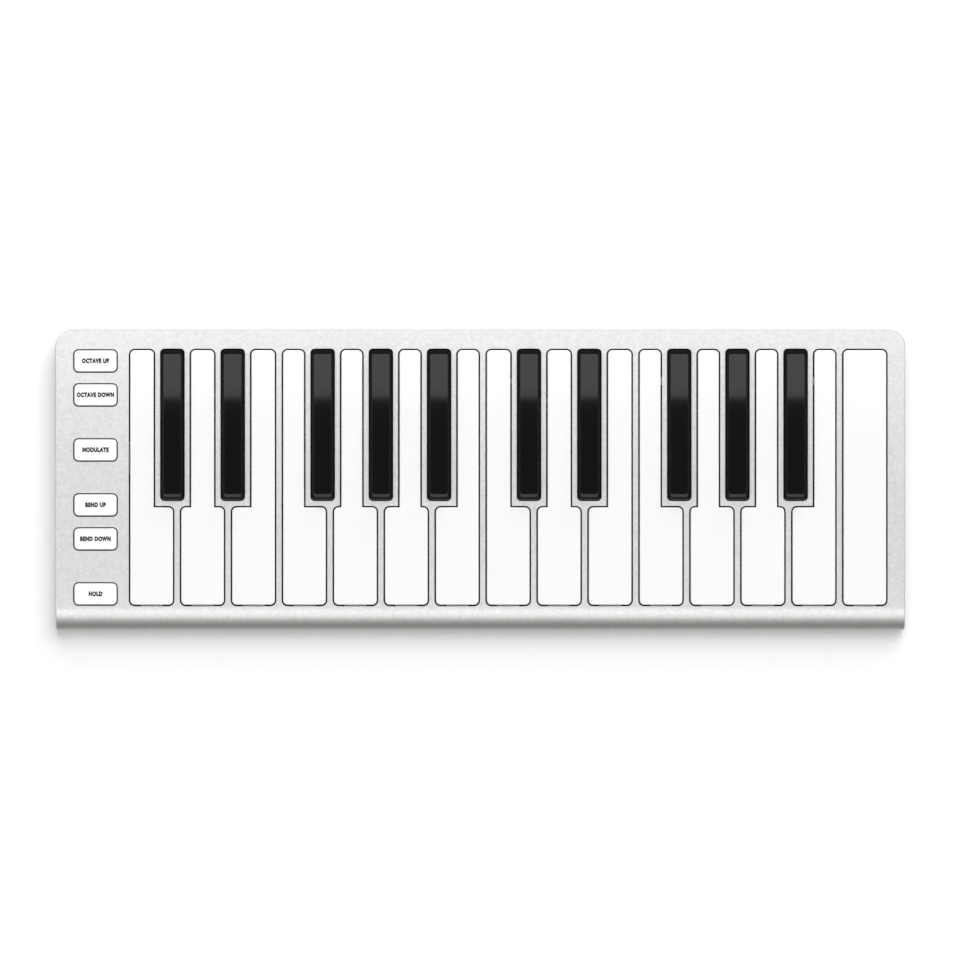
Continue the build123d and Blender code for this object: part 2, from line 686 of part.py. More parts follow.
# Steel chassis plate with its screw holes and a row of lightening windows
with BuildPart() as chassis_plate:
    with BuildSketch(Plane.XY.offset(COVER_TOP)):
        add(plan_outline(CHASSIS_INSET))
        with Locations(*CASE_SCREWS):
            Circle(SCREW_CLEARANCE, mode=Mode.SUBTRACT)
        with Locations(*KEY_BOARD_SCREWS, *BUTTON_BOARD_SCREWS, *COMB_SCREWS):
            Circle(TAPPED_HOLE, mode=Mode.SUBTRACT)
        with Locations((white_x(7), 5.0)):
            with GridLocations(2 * WHITE_PITCH, 0, 7, 1):
                RectangleRounded(34.0, 56.0, 4.0, mode=Mode.SUBTRACT)
    extrude(amount=CHASSIS_TOP - COVER_TOP)
save(chassis_plate.part, "chassis_plate")

# Insulating film between the chassis and the boards
with BuildPart() as insulator_sheet:
    with BuildSketch(Plane.XY.offset(CHASSIS_TOP)):
        add(key_board_outline(INSULATOR_MARGIN))
        add(button_board_outline(INSULATOR_MARGIN))
        with Locations(((BUTTON_BOARD_RIGHT + KEY_BOARD_LEFT) / 2, 0.0)):
            Rectangle(KEY_BOARD_LEFT - BUTTON_BOARD_RIGHT + 2.0, 60.0)
        with Locations(*KEY_BOARD_SCREWS, *BUTTON_BOARD_SCREWS):
            Circle(SCREW_CLEARANCE, mode=Mode.SUBTRACT)
    extrude(amount=INSULATOR_THICKNESS)
save(insulator_sheet.part, "insulator_sheet")

# Circuit boards
with BuildPart() as key_board:
    with BuildSketch(Plane.XY.offset(BOARD_BOTTOM)):
        add(key_board_outline(0))
        with Locations(*KEY_BOARD_SCREWS):
            Circle(SCREW_RADIUS + 0.15, mode=Mode.SUBTRACT)
    extrude(amount=BOARD_THICKNESS)
save(key_board.part, "key_board")

with BuildPart() as button_board:
    with BuildSketch(Plane.XY.offset(BOARD_BOTTOM)):
        add(button_board_outline(0))
        with Locations(*BUTTON_BOARD_SCREWS):
            Circle(SCREW_RADIUS + 0.15, mode=Mode.SUBTRACT)
    extrude(amount=BOARD_THICKNESS)
save(button_board.part, "button_board")

# Silicone domes: contact and return spring of every key and button
white_domes = [(x, WHITE_DOME_Y) for x in WHITE_XS]
save(dome_sheet(strip_outline(WHITE_XS, WHITE_DOME_Y), white_domes, DOME_TOP), "white_dome_strip")
black_domes = [(x, BLACK_DOME_Y) for x in BLACK_XS]
save(dome_sheet(strip_outline(BLACK_XS, BLACK_DOME_Y), black_domes, DOME_TOP), "black_dome_strip")

button_ys = list(BUTTON_ROWS.values())
with BuildSketch() as button_sheet_outline:
    with Locations((BUTTON_X, (min(button_ys) + max(button_ys)) / 2)):
        sheet_length = max(button_ys) - min(button_ys) + 2 * BUTTON_SHEET_OVERHANG
        RectangleRounded(BUTTON_SHEET_WIDTH, sheet_length, 1.5)
    with Locations(*[(BUTTON_X, y) for y in BUTTON_BOSS_YS]):
        Circle(BOSS_RADIUS + BOSS_CLEARANCE, mode=Mode.SUBTRACT)
button_domes = [(BUTTON_X, y) for y in button_ys]
save(dome_sheet(button_sheet_outline.sketch, button_domes, BUTTON_DOME_TOP), "button_dome_sheet")

# Guide rails: the white keys' stands on the chassis, the black keys' on the key board
white_guide_rail = guide_rail(
    WHITE_XS, WHITE_GUIDE_Y, CHASSIS_TOP, WHITE_GUIDE_BASE_TOP, WHITE_GUIDE_POST, SKIRT_BOTTOM
)
save(white_guide_rail, "white_guide_rail")
black_guide_rail = guide_rail(
    BLACK_XS, BLACK_GUIDE_Y, BOARD_TOP, BLACK_GUIDE_BASE_TOP, BLACK_GUIDE_POST, BLACK_GUIDE_POST_TOP
)
save(black_guide_rail, "black_guide_rail")

# Hinge comb with a divider between neighbouring keys, and the rod through it
comb_left = TONGUE_XS[0] - COMB_OVERHANG
comb_right = TONGUE_XS[-1] + COMB_OVERHANG
divider_xs = [(a + b) / 2 for a, b in zip(TONGUE_XS, TONGUE_XS[1:])] + [comb_left, comb_right]
rail_left = comb_left - COMB_DIVIDER / 2
rail_right = comb_right + COMB_DIVIDER / 2
with BuildPart() as hinge_rail:
    bar(rail_left, rail_right, COMB_BASE_FRONT, COMB_REAR, CHASSIS_TOP, COMB_BASE_TOP)
    bar(rail_left, rail_right, COMB_REAR - COMB_WEB, COMB_REAR, COMB_BASE_TOP, COMB_TOP)
    with BuildSketch(Plane.XY.offset(COMB_BASE_TOP)):
        with Locations(*[(x, (COMB_FRONT + COMB_REAR) / 2) for x in divider_xs]):
            Rectangle(COMB_DIVIDER, COMB_REAR - COMB_FRONT)
    extrude(amount=COMB_TOP - COMB_BASE_TOP)
    with BuildSketch(Plane.YZ.offset(rail_left)):
        with Locations((HINGE_Y, HINGE_Z)):
            Circle(COMB_BORE)
    extrude(amount=rail_right - rail_left, mode=Mode.SUBTRACT)
    with BuildSketch(Plane.XY.offset(CHASSIS_TOP)):
        with Locations(*COMB_SCREWS):
            Circle(SCREW_RADIUS + 0.15)
    extrude(amount=COMB_BASE_TOP - CHASSIS_TOP, mode=Mode.SUBTRACT)
save(hinge_rail.part, "hinge_rail")

with BuildPart() as hinge_rod:
    with BuildSketch(Plane.YZ.offset(rail_left - ROD_OVERHANG)):
        with Locations((HINGE_Y, HINGE_Z)):
            Circle(ROD_RADIUS)
    extrude(amount=rail_right - rail_left + 2 * ROD_OVERHANG)
    chamfer(hinge_rod.edges().filter_by(GeomType.CIRCLE), 0.25)
save(hinge_rod.part, "hinge_rod")

# Felt and foam stops
key_row_left = WHITE_XS[0] - WHITE_WIDTH / 2 - ROOT
key_row_right = WHITE_XS[-1] + WHITE_WIDTH / 2 + ROOT
front_stop_felt = bar_part(key_row_left, key_row_right, *FRONT_FELT, CHASSIS_TOP, FRONT_FELT_TOP, 0.5)
save(front_stop_felt, "front_stop_felt")
pad_bottom = LIP_TOP + CONTACT_GAP
up_stop_felt = bar_part(key_row_left, key_row_right, *UP_STOP_FELT, pad_bottom, UP_STOP_FELT_TOP, 0.3)
save(up_stop_felt, "up_stop_felt")
black_row_left = min(BLACK_XS) - STRIP_OVERHANG
black_row_right = max(BLACK_XS) + STRIP_OVERHANG
black_stop_felt = bar_part(black_row_left, black_row_right, *BLACK_FELT, BOARD_TOP, BLACK_FELT_TOP, 0.5)
save(black_stop_felt, "black_stop_felt")
with BuildPart() as black_up_stop_pads:
    with BuildSketch(Plane.XY.offset(pad_bottom)):
        with Locations(*[(x, BLACK_PAD_Y) for x in BLACK_XS]):
            RectangleRounded(BLACK_PAD_LENGTH, BLACK_PAD_WIDTH, 0.3)
    extrude(amount=DECK_UNDER - CONTACT_GAP - pad_bottom)
save(black_up_stop_pads.part, "black_up_stop_pads")

# Keys and buttons
for index in range(WHITE_COUNT):
    save(white_key(index), f"white_key_{index + 1:02d}")
for number, index in enumerate(BLACK_OFFSETS, start=1):
    save(black_key(index), f"black_key_{number:02d}")
for button_name, row_y in BUTTON_ROWS.items():
    save(button_cap(row_y), button_name)

# USB socket: folded steel shell and a moulded block with its contact tongue
with BuildPart() as usb_socket_shell:
    with BuildSketch(Plane.XZ.offset(-USB_FRONT)):
        with Locations((USB_X, USB_CENTRE_Z)):
            RectangleRounded(USB_WIDTH, USB_HEIGHT, USB_CORNER)
    extrude(amount=USB_FRONT - USB_MOUTH)
    with BuildSketch(Plane.XZ.offset(-USB_FRONT - USB_SHEET)):
        with Locations((USB_X, USB_CENTRE_Z)):
            RectangleRounded(USB_WIDTH - 2 * USB_SHEET, USB_HEIGHT - 2 * USB_SHEET, USB_CORNER - USB_SHEET)
    extrude(amount=USB_FRONT - USB_MOUTH, mode=Mode.SUBTRACT)
    for side in (-1, 1):
        ear_x = USB_X + side * (USB_WIDTH / 2 + 0.5)
        ear_half = USB_EAR_WIDTH / 2
        bar(ear_x - ear_half, ear_x + ear_half, USB_FRONT + 0.6, USB_FRONT + 2.4, BOARD_TOP, BOARD_TOP + 0.9)
save(usb_socket_shell.part, "usb_socket_shell")

with BuildPart() as usb_contact_tongue:
    block_front = USB_FRONT + USB_SHEET + CONTACT_GAP
    block_rear = block_front + USB_BLOCK_DEPTH
    block_bottom = BOARD_TOP + USB_CLEARANCE
    block_top = BOARD_TOP + USB_HEIGHT - USB_CLEARANCE
    bar(USB_X - USB_BLOCK_HALF, USB_X + USB_BLOCK_HALF, block_front, block_rear, block_bottom, block_top)
    tongue_left = USB_X - USB_TONGUE_HALF
    tongue_right = USB_X + USB_TONGUE_HALF
    bar(tongue_left, tongue_right, block_rear, USB_TONGUE_REAR, BOARD_TOP + 1.5, BOARD_TOP + 2.1)
save(usb_contact_tongue.part, "usb_contact_tongue")

# Electronics on the key board
save(copies(chip(10.0, 8.0, 10), [(CONTROLLER_X, CHIP_ROW_Y, BOARD_TOP)]), "controller_chip")
save(copies(chip(6.0, 4.0, 7), [(x, CHIP_ROW_Y, BOARD_TOP) for x in DRIVER_XS]), "driver_chips")
save(copies(chip(2.2, 1.4, 1), [(x, DIODE_Y, BOARD_TOP) for x in TONGUE_XS]), "matrix_diodes")
with BuildPart() as board_capacitors:
    with BuildSketch(Plane.XY.offset(BOARD_TOP)):
        for chip_x in (CONTROLLER_X, *DRIVER_XS):
            with Locations((chip_x + CAPACITOR_OFFSET, CHIP_ROW_Y)):
                with GridLocations(2 * CAPACITOR_WIDTH, 2 * CAPACITOR_LENGTH, 2, 2):
                    Rectangle(CAPACITOR_WIDTH, CAPACITOR_LENGTH)
    extrude(amount=CAPACITOR_HEIGHT)
    chamfer(board_capacitors.edges().filter_by(Axis.Z), 0.2)
save(board_capacitors.part, "board_capacitors")

# Flat ribbon cable between the boards, in two slotted connectors
connector_xs = (BUTTON_BOARD_RIGHT - CONNECTOR_SETBACK, KEY_BOARD_LEFT + CONNECTOR_SETBACK)
with BuildPart() as ribbon_connectors:
    with BuildSketch(Plane.XY.offset(BOARD_TOP)):
        with Locations(*[(x, RIBBON_Y) for x in connector_xs]):
            Rectangle(CONNECTOR_DEPTH, RIBBON_WIDTH + 3.0)
    extrude(amount=CONNECTOR_HEIGHT)
    chamfer(ribbon_connectors.edges().group_by(Axis.Z)[-1], 0.2)
    slot_left = connector_xs[0] - 0.6
    slot_right = connector_xs[1] + 0.6
    with BuildSketch(Plane.XY.offset(RIBBON_BOTTOM - 0.1)):
        with Locations(((slot_left + slot_right) / 2, RIBBON_Y)):
            Rectangle(slot_right - slot_left, RIBBON_WIDTH + 0.4)
    extrude(amount=RIBBON_THICKNESS + 0.2, mode=Mode.SUBTRACT)
save(ribbon_connectors.part, "ribbon_connectors")

with BuildPart() as ribbon_cable:
    ribbon_left = slot_left + 0.2
    ribbon_right = slot_right - 0.2
    arch_left = connector_xs[0] + CONNECTOR_DEPTH / 2 + 0.2
    arch_right = connector_xs[1] - CONNECTOR_DEPTH / 2 - 0.2
    arch_middle = (arch_left + arch_right) / 2
    ribbon_top = RIBBON_BOTTOM + RIBBON_THICKNESS
    low_crown = (arch_middle, RIBBON_BOTTOM + RIBBON_RISE)
    high_crown = (arch_middle, ribbon_top + RIBBON_RISE)
    with BuildSketch(Plane.XZ.offset(-RIBBON_Y - RIBBON_WIDTH / 2)):
        with BuildLine():
            Line((ribbon_left, RIBBON_BOTTOM), (arch_left, RIBBON_BOTTOM))
            ThreePointArc((arch_left, RIBBON_BOTTOM), low_crown, (arch_right, RIBBON_BOTTOM))
            Line((arch_right, RIBBON_BOTTOM), (ribbon_right, RIBBON_BOTTOM))
            Line((ribbon_right, RIBBON_BOTTOM), (ribbon_right, ribbon_top))
            Line((ribbon_right, ribbon_top), (arch_right, ribbon_top))
            ThreePointArc((arch_right, ribbon_top), high_crown, (arch_left, ribbon_top))
            Line((arch_left, ribbon_top), (ribbon_left, ribbon_top))
            Line((ribbon_left, ribbon_top), (ribbon_left, RIBBON_BOTTOM))
        make_face()
    extrude(amount=RIBBON_WIDTH)
save(ribbon_cable.part, "ribbon_cable")

# Screws: countersunk case screws driven up from below, pan-head screws driven down inside
case_screw = screw(CASE_SCREW_HEAD, 0.0, True, CASE_SCREW_TIP - CASE_SCREW_BOTTOM)
save(
    copies(case_screw, [Plane((x, y, CASE_SCREW_BOTTOM), z_dir=(0, 0, -1)) for x, y in CASE_SCREWS]),
    "case_screws",
)
board_screw = screw(PAN_HEAD_RADIUS, PAN_HEAD_HEIGHT, False, BOARD_TOP - COVER_TOP - SCREW_END_GAP)
save(
    copies(board_screw, [(x, y, BOARD_TOP) for x, y in KEY_BOARD_SCREWS + BUTTON_BOARD_SCREWS]),
    "board_screws",
)
comb_screw = screw(PAN_HEAD_RADIUS, PAN_HEAD_HEIGHT, False, COMB_BASE_TOP - COVER_TOP - SCREW_END_GAP)
save(copies(comb_screw, [(x, y, COMB_BASE_TOP) for x, y in COMB_SCREWS]), "hinge_rail_screws")
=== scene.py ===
import json
import math

import bmesh
import bpy
from mathutils import Matrix, Vector


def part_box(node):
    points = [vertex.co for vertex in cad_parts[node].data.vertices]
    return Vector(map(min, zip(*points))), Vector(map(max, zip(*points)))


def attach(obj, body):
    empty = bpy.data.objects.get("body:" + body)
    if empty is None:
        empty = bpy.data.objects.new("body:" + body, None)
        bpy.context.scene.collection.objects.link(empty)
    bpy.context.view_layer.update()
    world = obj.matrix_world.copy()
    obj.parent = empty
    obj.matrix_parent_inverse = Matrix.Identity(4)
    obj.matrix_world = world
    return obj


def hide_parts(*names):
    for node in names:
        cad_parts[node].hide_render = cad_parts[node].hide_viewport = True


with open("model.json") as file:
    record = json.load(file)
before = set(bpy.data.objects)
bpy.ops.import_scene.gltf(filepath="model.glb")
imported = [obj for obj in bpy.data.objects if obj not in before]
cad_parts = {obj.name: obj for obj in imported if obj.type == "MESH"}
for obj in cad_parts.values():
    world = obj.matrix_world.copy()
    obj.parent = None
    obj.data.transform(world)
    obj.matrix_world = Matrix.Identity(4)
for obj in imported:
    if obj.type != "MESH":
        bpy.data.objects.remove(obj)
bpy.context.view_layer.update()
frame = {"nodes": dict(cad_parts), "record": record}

MM = 0.001

# ---------------------------------------------------------------------------------------
# Sizes that the frame's boxes don't give directly: gaps, roundings and wall thicknesses
# ---------------------------------------------------------------------------------------
SHELL_LOW, SHELL_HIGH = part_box("top_shell")
DECK = SHELL_HIGH.z
ROLL = SHELL_HIGH.z - SHELL_LOW.z
WALL = 1.5 * MM
REAR_CORNER = 7.3 * MM
DECK_ROUND = 0.3 * MM
OPENING_ROUND = 0.12 * MM
# width of the gap round each kind of key or button, in the deck
WHITE_GAP = 0.7 * MM
BLACK_GAP = 0.5 * MM
BUTTON_GAP = 0.34 * MM
# what each side of a button's cap is drawn in by
BUTTON_TRIM = 0.25 * MM
# strip that a white key's notch leaves free beside a black key
NOTCH_CLEARANCE = 3.45 * MM
WHITE_CORNER = 2.0 * MM
BLACK_CORNER = 1.4 * MM
BUTTON_CORNER = 2.05 * MM
# how far the stop lip, the hinge and a button's flange reach past the visible outline
WHITE_LIP = 2.2 * MM
BLACK_LIP = 2.0 * MM
WHITE_HINGE_REACH = 6.16 * MM
BLACK_HINGE_REACH = 5.96 * MM
BUTTON_FLANGE = 1.0 * MM
# the underside of the keys, by height above the table
SKIRT_BOTTOM = 8.4 * MM
LIP_TOP = 9.6 * MM
PLUNGER_BOTTOM = 8.65 * MM
WHITE_GUIDE_BOTTOM = 7.4 * MM
BLACK_GUIDE_BOTTOM = 8.3 * MM
ARM_BOTTOM = 7.0 * MM
ARM_TOP = 9.0 * MM
# and by size
WHITE_HALF_LIP = 5.0 * MM
BLACK_HALF_LIP = 3.5 * MM
PLUNGER_RADIUS = 2.5 * MM
GUIDE_NEAR = 1.65 * MM
GUIDE_FAR = 2.85 * MM
HALF_GUIDE = 3.0 * MM
HALF_ARM = 3.5 * MM
BORE_RADIUS = 1.05 * MM
BARREL_RADIUS = 2.2 * MM
# how far joined solids run into each other, and how far cutters pass a face
JOIN = 0.4 * MM
PASS = 1.0 * MM
SHARP_ANGLE = math.radians(32)

WHITE_KEYS = sorted(n for n in frame["nodes"] if n.startswith("white_key"))
BLACK_KEYS = sorted(n for n in frame["nodes"] if n.startswith("black_key"))
WHITE_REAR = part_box(WHITE_KEYS[0])[1].y - WHITE_HINGE_REACH
LABELS = {
    "octave_up_button": "OCTAVE UP",
    "octave_down_button": "OCTAVE DOWN",
    "modulation_button": "MODULATE",
    "bend_up_button": "BEND UP",
    "bend_down_button": "BEND DOWN",
    "sustain_button": "HOLD",
}


# ---------------------------------------------------------------------------------------
# Outlines: each corner is (x, y, radius), counter-clockwise, with square turns
# ---------------------------------------------------------------------------------------
def rounded_outline(corners, grow, steps=6):
    """Points of a right-angled outline with rounded corners, moved outwards by `grow`."""
    smallest = 0.02 * MM
    points = []
    for i, (x, y, radius) in enumerate(corners):
        corner = Vector((x, y))
        before = Vector(corners[i - 1][:2])
        after = Vector(corners[(i + 1) % len(corners)][:2])
        along = (corner - before).normalized()
        onward = (after - corner).normalized()
        side_in = Vector((along.y, -along.x))
        side_out = Vector((onward.y, -onward.x))
        convex = along.cross(onward) > 0
        sign = 1 if convex else -1
        r = max(radius + sign * grow, smallest)
        centre = corner + (side_in + side_out) * (grow - sign * r)
        for k in range(steps + 1):
            turn = math.pi / 2 * k / steps
            spoke = side_in * math.cos(turn) + side_out * math.sin(turn)
            points.append(centre + sign * r * spoke)
    return points


def white_key_corners(name):
    """Outline of a white key, with a notch on each side where a black key stands."""
    low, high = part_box(name)
    front = low.y + WHITE_LIP
    rear = WHITE_REAR
    right_side = [(high.x, rear, WHITE_CORNER)]
    left_side = [(low.x, rear, WHITE_CORNER)]
    for black in BLACK_KEYS:
        black_low, black_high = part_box(black)
        notch_y = black_low.y + BLACK_LIP - NOTCH_CLEARANCE
        if low.x < black_low.x - NOTCH_CLEARANCE < high.x:
            edge = black_low.x - NOTCH_CLEARANCE
            right_side = [(high.x, notch_y, WHITE_CORNER), (edge, notch_y, 0.0)]
            right_side += [(edge, rear, WHITE_CORNER)]
        if low.x < black_high.x + NOTCH_CLEARANCE < high.x:
            edge = black_high.x + NOTCH_CLEARANCE
            left_side = [(edge, rear, WHITE_CORNER), (edge, notch_y, 0.0)]
            left_side += [(low.x, notch_y, WHITE_CORNER)]
    front_side = [(low.x, front, WHITE_CORNER), (high.x, front, WHITE_CORNER)]
    return front_side + right_side + left_side


def box_corners(low, high, radius):
    """Outline of a plain rectangle."""
    return [
        (low.x, low.y, radius),
        (high.x, low.y, radius),
        (high.x, high.y, radius),
        (low.x, high.y, radius),
    ]


def black_key_rectangle(name):
    """Lowest and highest corner of a black key without its stop lip and hinge."""
    low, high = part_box(name)
    return Vector((low.x, low.y + BLACK_LIP)), Vector((high.x, high.y - BLACK_HINGE_REACH))


def button_rectangle(name):
    """Lowest and highest corner of a button cap without its flange."""
    low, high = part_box(name)
    margin = Vector((BUTTON_FLANGE, BUTTON_FLANGE))
    return low.xy + margin, high.xy - margin


# ---------------------------------------------------------------------------------------
# Mesh building
# ---------------------------------------------------------------------------------------
def add_object(name, data):
    """A new object in the scene."""
    obj = bpy.data.objects.new(name, data)
    bpy.context.scene.collection.objects.link(obj)
    return obj


def evaluated_mesh(obj):
    """The mesh that an object has with its modifiers, or that a text object makes."""
    graph = bpy.context.evaluated_depsgraph_get()
    return bpy.data.meshes.new_from_object(obj.evaluated_get(graph))


def loft(bm, rings, ends="capped"):
    """A solid through rings of equal length, with flat caps or joined up in a loop."""
    layers = [[bm.verts.new(p) for p in ring] for ring in rings]
    count = len(layers[0])
    onward = layers[1:] if ends == "capped" else layers[1:] + layers[:1]
    for a, b in zip(layers, onward):
        for i in range(count):
            j = (i + 1) % count
            bm.faces.new((a[i], a[j], b[j], b[i]))
    if ends == "capped":
        bm.faces.new(list(reversed(layers[0])))
        bm.faces.new(layers[-1])


def outline_solid(bm, corners, levels, steps=6):
    """A solid whose outline grows or shrinks from level to level: levels are (grow, z)."""
    rings = []
    for grow, z in levels:
        rings.append([(p.x, p.y, z) for p in rounded_outline(corners, grow, steps)])
    loft(bm, rings)


def lathe(bm, centre, levels, steps=28):
    """A solid of rotation about a vertical line: levels are (radius, z)."""
    turns = [2 * math.pi * i / steps for i in range(steps)]
    spokes = [(math.cos(t), math.sin(t)) for t in turns]
    loft(bm, [[(centre.x + r * c, centre.y + r * s, z) for c, s in spokes] for r, z in levels])


def block(bm, low, high, chamfer=0.12 * MM):
    """A straight block with small chamfers round its top and bottom."""
    corners = box_corners(Vector(low[:2]), Vector(high[:2]), 0.1 * MM)
    levels = [(-chamfer, low[2]), (0, low[2] + chamfer)]
    levels += [(0, high[2] - chamfer), (-chamfer, high[2])]
    outline_solid(bm, corners, levels, steps=2)


def arc_drops(radius, steps):
    """A quarter circle from a wall to a flat top, as (inset from the wall, drop from the top)."""
    turns = [math.pi / 2 * k / steps for k in range(steps + 1)]
    return [(radius * (1 - math.cos(t)), radius * (1 - math.sin(t))) for t in turns]


def quarter_round(radius, steps, grow, z_high):
    """Levels round an outer top edge: from the wall, inwards and up to the flat top."""
    arc = arc_drops(radius, steps)
    return [(grow - inset, z_high - drop) for inset, drop in arc]


def finish_mesh(bm, name):
    """A mesh from a bmesh, with doubled points merged and outward normals."""
    bmesh.ops.remove_doubles(bm, verts=bm.verts, dist=1e-5 * MM)
    bmesh.ops.recalc_face_normals(bm, faces=bm.faces)
    mesh = bpy.data.meshes.new(name)
    bm.to_mesh(mesh)
    bm.free()
    return mesh


def shade(mesh):
    """Smooth shading with sharp edges kept, and large faces kept visibly flat."""
    mesh.shade_smooth()
    mesh.set_sharp_from_angle(angle=SHARP_ANGLE)
    carrier = add_object("shading", mesh)
    weighting = carrier.modifiers.new("weighting", "WEIGHTED_NORMAL")
    weighting.keep_sharp = True
    weighting.weight = 100
    result = evaluated_mesh(carrier)
    bpy.data.objects.remove(carrier)
    return result


def combine(target, tool, operation):
    """The mesh `target` joined with, or cut by, the mesh `tool`."""
    a = add_object("boolean_a", target)
    b = add_object("boolean_b", tool)
    boolean = a.modifiers.new("boolean", "BOOLEAN")
    boolean.operation = operation
    boolean.solver = "EXACT"
    boolean.object = b
    result = evaluated_mesh(a)
    bpy.data.objects.remove(a)
    bpy.data.objects.remove(b)
    return result


def paint(mesh, material, other=None, is_other=None):
    """Gives a mesh its material, and the faces that `is_other` picks the other one."""
    mesh.materials.clear()
    mesh.materials.append(material)
    if other:
        mesh.materials.append(other)
    for face in mesh.polygons:
        face.material_index = 1 if other and is_other(face) else 0
    return mesh


def is_below_top(face):
    """True for all of a black key but its raised flat top."""
    steepest = 0.85
    return face.normal.z < steepest or face.center.z < DECK


def is_carrier(face):
    """True for a button's flange and what hangs below it, which are dark carrier plastic and also
    painted shade in the gap round the cap.
    """
    return face.center.z < DECK - WALL


def is_hinge(face):
    """True for the tongue and barrel behind a white key's rear wall, which are dark black acetal
    and also painted shade in the gap behind the key.
    """
    return face.center.y > WHITE_REAR + 0.1 * MM


def piece(name, mesh, body, replaced=None, place=(0, 0, 0)):
    """An object for a finished mesh, riding on its body and standing for a CAD node."""
    obj = add_object(name, mesh)
    obj.location = place
    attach(obj, body)
    if replaced:
        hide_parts(replaced)


# ---------------------------------------------------------------------------------------
# Materials
# ---------------------------------------------------------------------------------------
class Recipe:
    """A node material built round one Principled shader, with object coordinates."""

    def __init__(self, name, colour, roughness, metallic=0.0):
        self.material = bpy.data.materials.new(name)
        self.material.use_nodes = True
        self.nodes = self.material.node_tree.nodes
        self.links = self.material.node_tree.links
        self.shader = self.nodes["Principled BSDF"]
        self.shader.inputs["Base Color"].default_value = (*colour, 1)
        self.shader.inputs["Roughness"].default_value = roughness
        self.shader.inputs["Metallic"].default_value = metallic
        self.coordinates = self.nodes.new("ShaderNodeTexCoord").outputs["Object"]

    def set(self, **values):
        """Fixed values for the shader's sockets, named with _ for a space."""
        for socket, value in values.items():
            self.shader.inputs[socket.replace("_", " ")].default_value = value
        return self

    def stretched(self, scale):
        """Object coordinates stretched by `scale` on each axis."""
        mapping = self.nodes.new("ShaderNodeMapping")
        mapping.inputs["Scale"].default_value = scale
        self.links.new(self.coordinates, mapping.inputs["Vector"])
        return mapping.outputs["Vector"]

    def noise(self, scale, detail=2.0, roughness=0.5, vector=None):
        """Noise whose features are about one metre divided by `scale`."""
        node = self.nodes.new("ShaderNodeTexNoise")
        node.inputs["Scale"].default_value = scale
        node.inputs["Detail"].default_value = detail
        node.inputs["Roughness"].default_value = roughness
        self.links.new(vector or self.coordinates, node.inputs["Vector"])
        return node.outputs["Fac"]

    def cells(self, scale):
        """Cells of random colour, about one metre divided by `scale` across."""
        node = self.nodes.new("ShaderNodeTexVoronoi")
        node.inputs["Scale"].default_value = scale
        self.links.new(self.coordinates, node.inputs["Vector"])
        return node.outputs["Color"]

    def height(self):
        """The object coordinates' Z."""
        split = self.nodes.new("ShaderNodeSeparateXYZ")
        self.links.new(self.coordinates, split.inputs["Vector"])
        return split.outputs["Z"]

    def span(self, value, from_low, from_high, to_low, to_high):
        """A value carried from one range to another, held inside it."""
        node = self.nodes.new("ShaderNodeMapRange")
        limits = (from_low, from_high, to_low, to_high)
        for socket, limit in zip(node.inputs[1:5], limits):
            socket.default_value = limit
        self.links.new(value, node.inputs["Value"])
        return node.outputs["Result"]

    def mix(self, factor, first, second):
        """A mix of two colours: each is a socket or a fixed colour."""
        node = self.nodes.new("ShaderNodeMix")
        node.data_type = "RGBA"
        self.links.new(factor, node.inputs["Factor"])
        for socket, value in (("A", first), ("B", second)):
            target = next(i for i in node.inputs if i.name == socket and i.type == "RGBA")
            if isinstance(value, tuple):
                target.default_value = (*value, 1)
            else:
                self.links.new(value, target)
        return next(o for o in node.outputs if o.type == "RGBA")

    def drive(self, socket, source):
        """Links a texture to one of the shader's sockets."""
        self.links.new(source, self.shader.inputs[socket])

    def bump(self, source, depth, strength=1.0):
        """Relief of a given depth in metres, added over any earlier relief."""
        node = self.nodes.new("ShaderNodeBump")
        node.inputs["Distance"].default_value = depth
        node.inputs["Strength"].default_value = strength
        self.links.new(source, node.inputs["Height"])
        earlier = self.shader.inputs["Normal"].links
        if earlier:
            self.links.new(earlier[0].from_socket, node.inputs["Normal"])
        self.links.new(node.outputs["Normal"], self.shader.inputs["Normal"])
        return self


def blasted_aluminium():
    """Silver anodised aluminium: a fine blasted grain over a slightly coarser mottle."""
    r = Recipe("blasted_aluminium", (0.75, 0.75, 0.74), 0.46, 1.0)
    mottle = r.noise(620, 4.0, 0.7)
    grain = r.noise(2200, 2.0, 0.6)
    clouds = r.span(mottle, 0.3, 0.7, 0.0, 1.0)
    hollows = r.mix(clouds, (0.645, 0.645, 0.635), (0.775, 0.775, 0.767))
    peaks = r.mix(clouds, (0.725, 0.725, 0.715), (0.855, 0.855, 0.847))
    r.drive("Base Color", r.mix(r.span(grain, 0.3, 0.7, 0.0, 1.0), hollows, peaks))
    r.drive("Roughness", r.span(grain, 0.3, 0.7, 0.42, 0.5))
    r.bump(mottle, 0.02 * MM, 0.4)
    return r.bump(grain, 0.01 * MM, 0.5).material


def white_plastic():
    """Polished white key plastic with a faint moulded ripple and handling haze."""
    r = Recipe("white_key_plastic", (0.93, 0.93, 0.925), 0.22)
    r.set(Coat_Weight=0.4, Coat_Roughness=0.08, IOR=1.5)
    haze = r.noise(60, 4.0)
    r.drive("Base Color", r.mix(haze, (0.92, 0.92, 0.915), (0.94, 0.94, 0.935)))
    r.drive("Roughness", r.span(haze, 0.0, 1.0, 0.2, 0.24))
    return r.bump(r.noise(900, 1.0), 0.001 * MM, 0.3).material


def black_polish():
    """Polished black plastic with faint handling wear: the top of a black key."""
    r = Recipe("black_key_polish", (0.0028, 0.0028, 0.003), 0.05)
    r.set(IOR=1.5)
    wear = r.noise(220, 4.0, 0.6)
    r.drive("Base Color", r.mix(wear, (0.0018, 0.0018, 0.0019), (0.0036, 0.0036, 0.0038)))
    r.drive("Roughness", r.span(wear, 0.3, 0.7, 0.045, 0.065))
    return r.bump(wear, 0.0006 * MM, 0.4).material


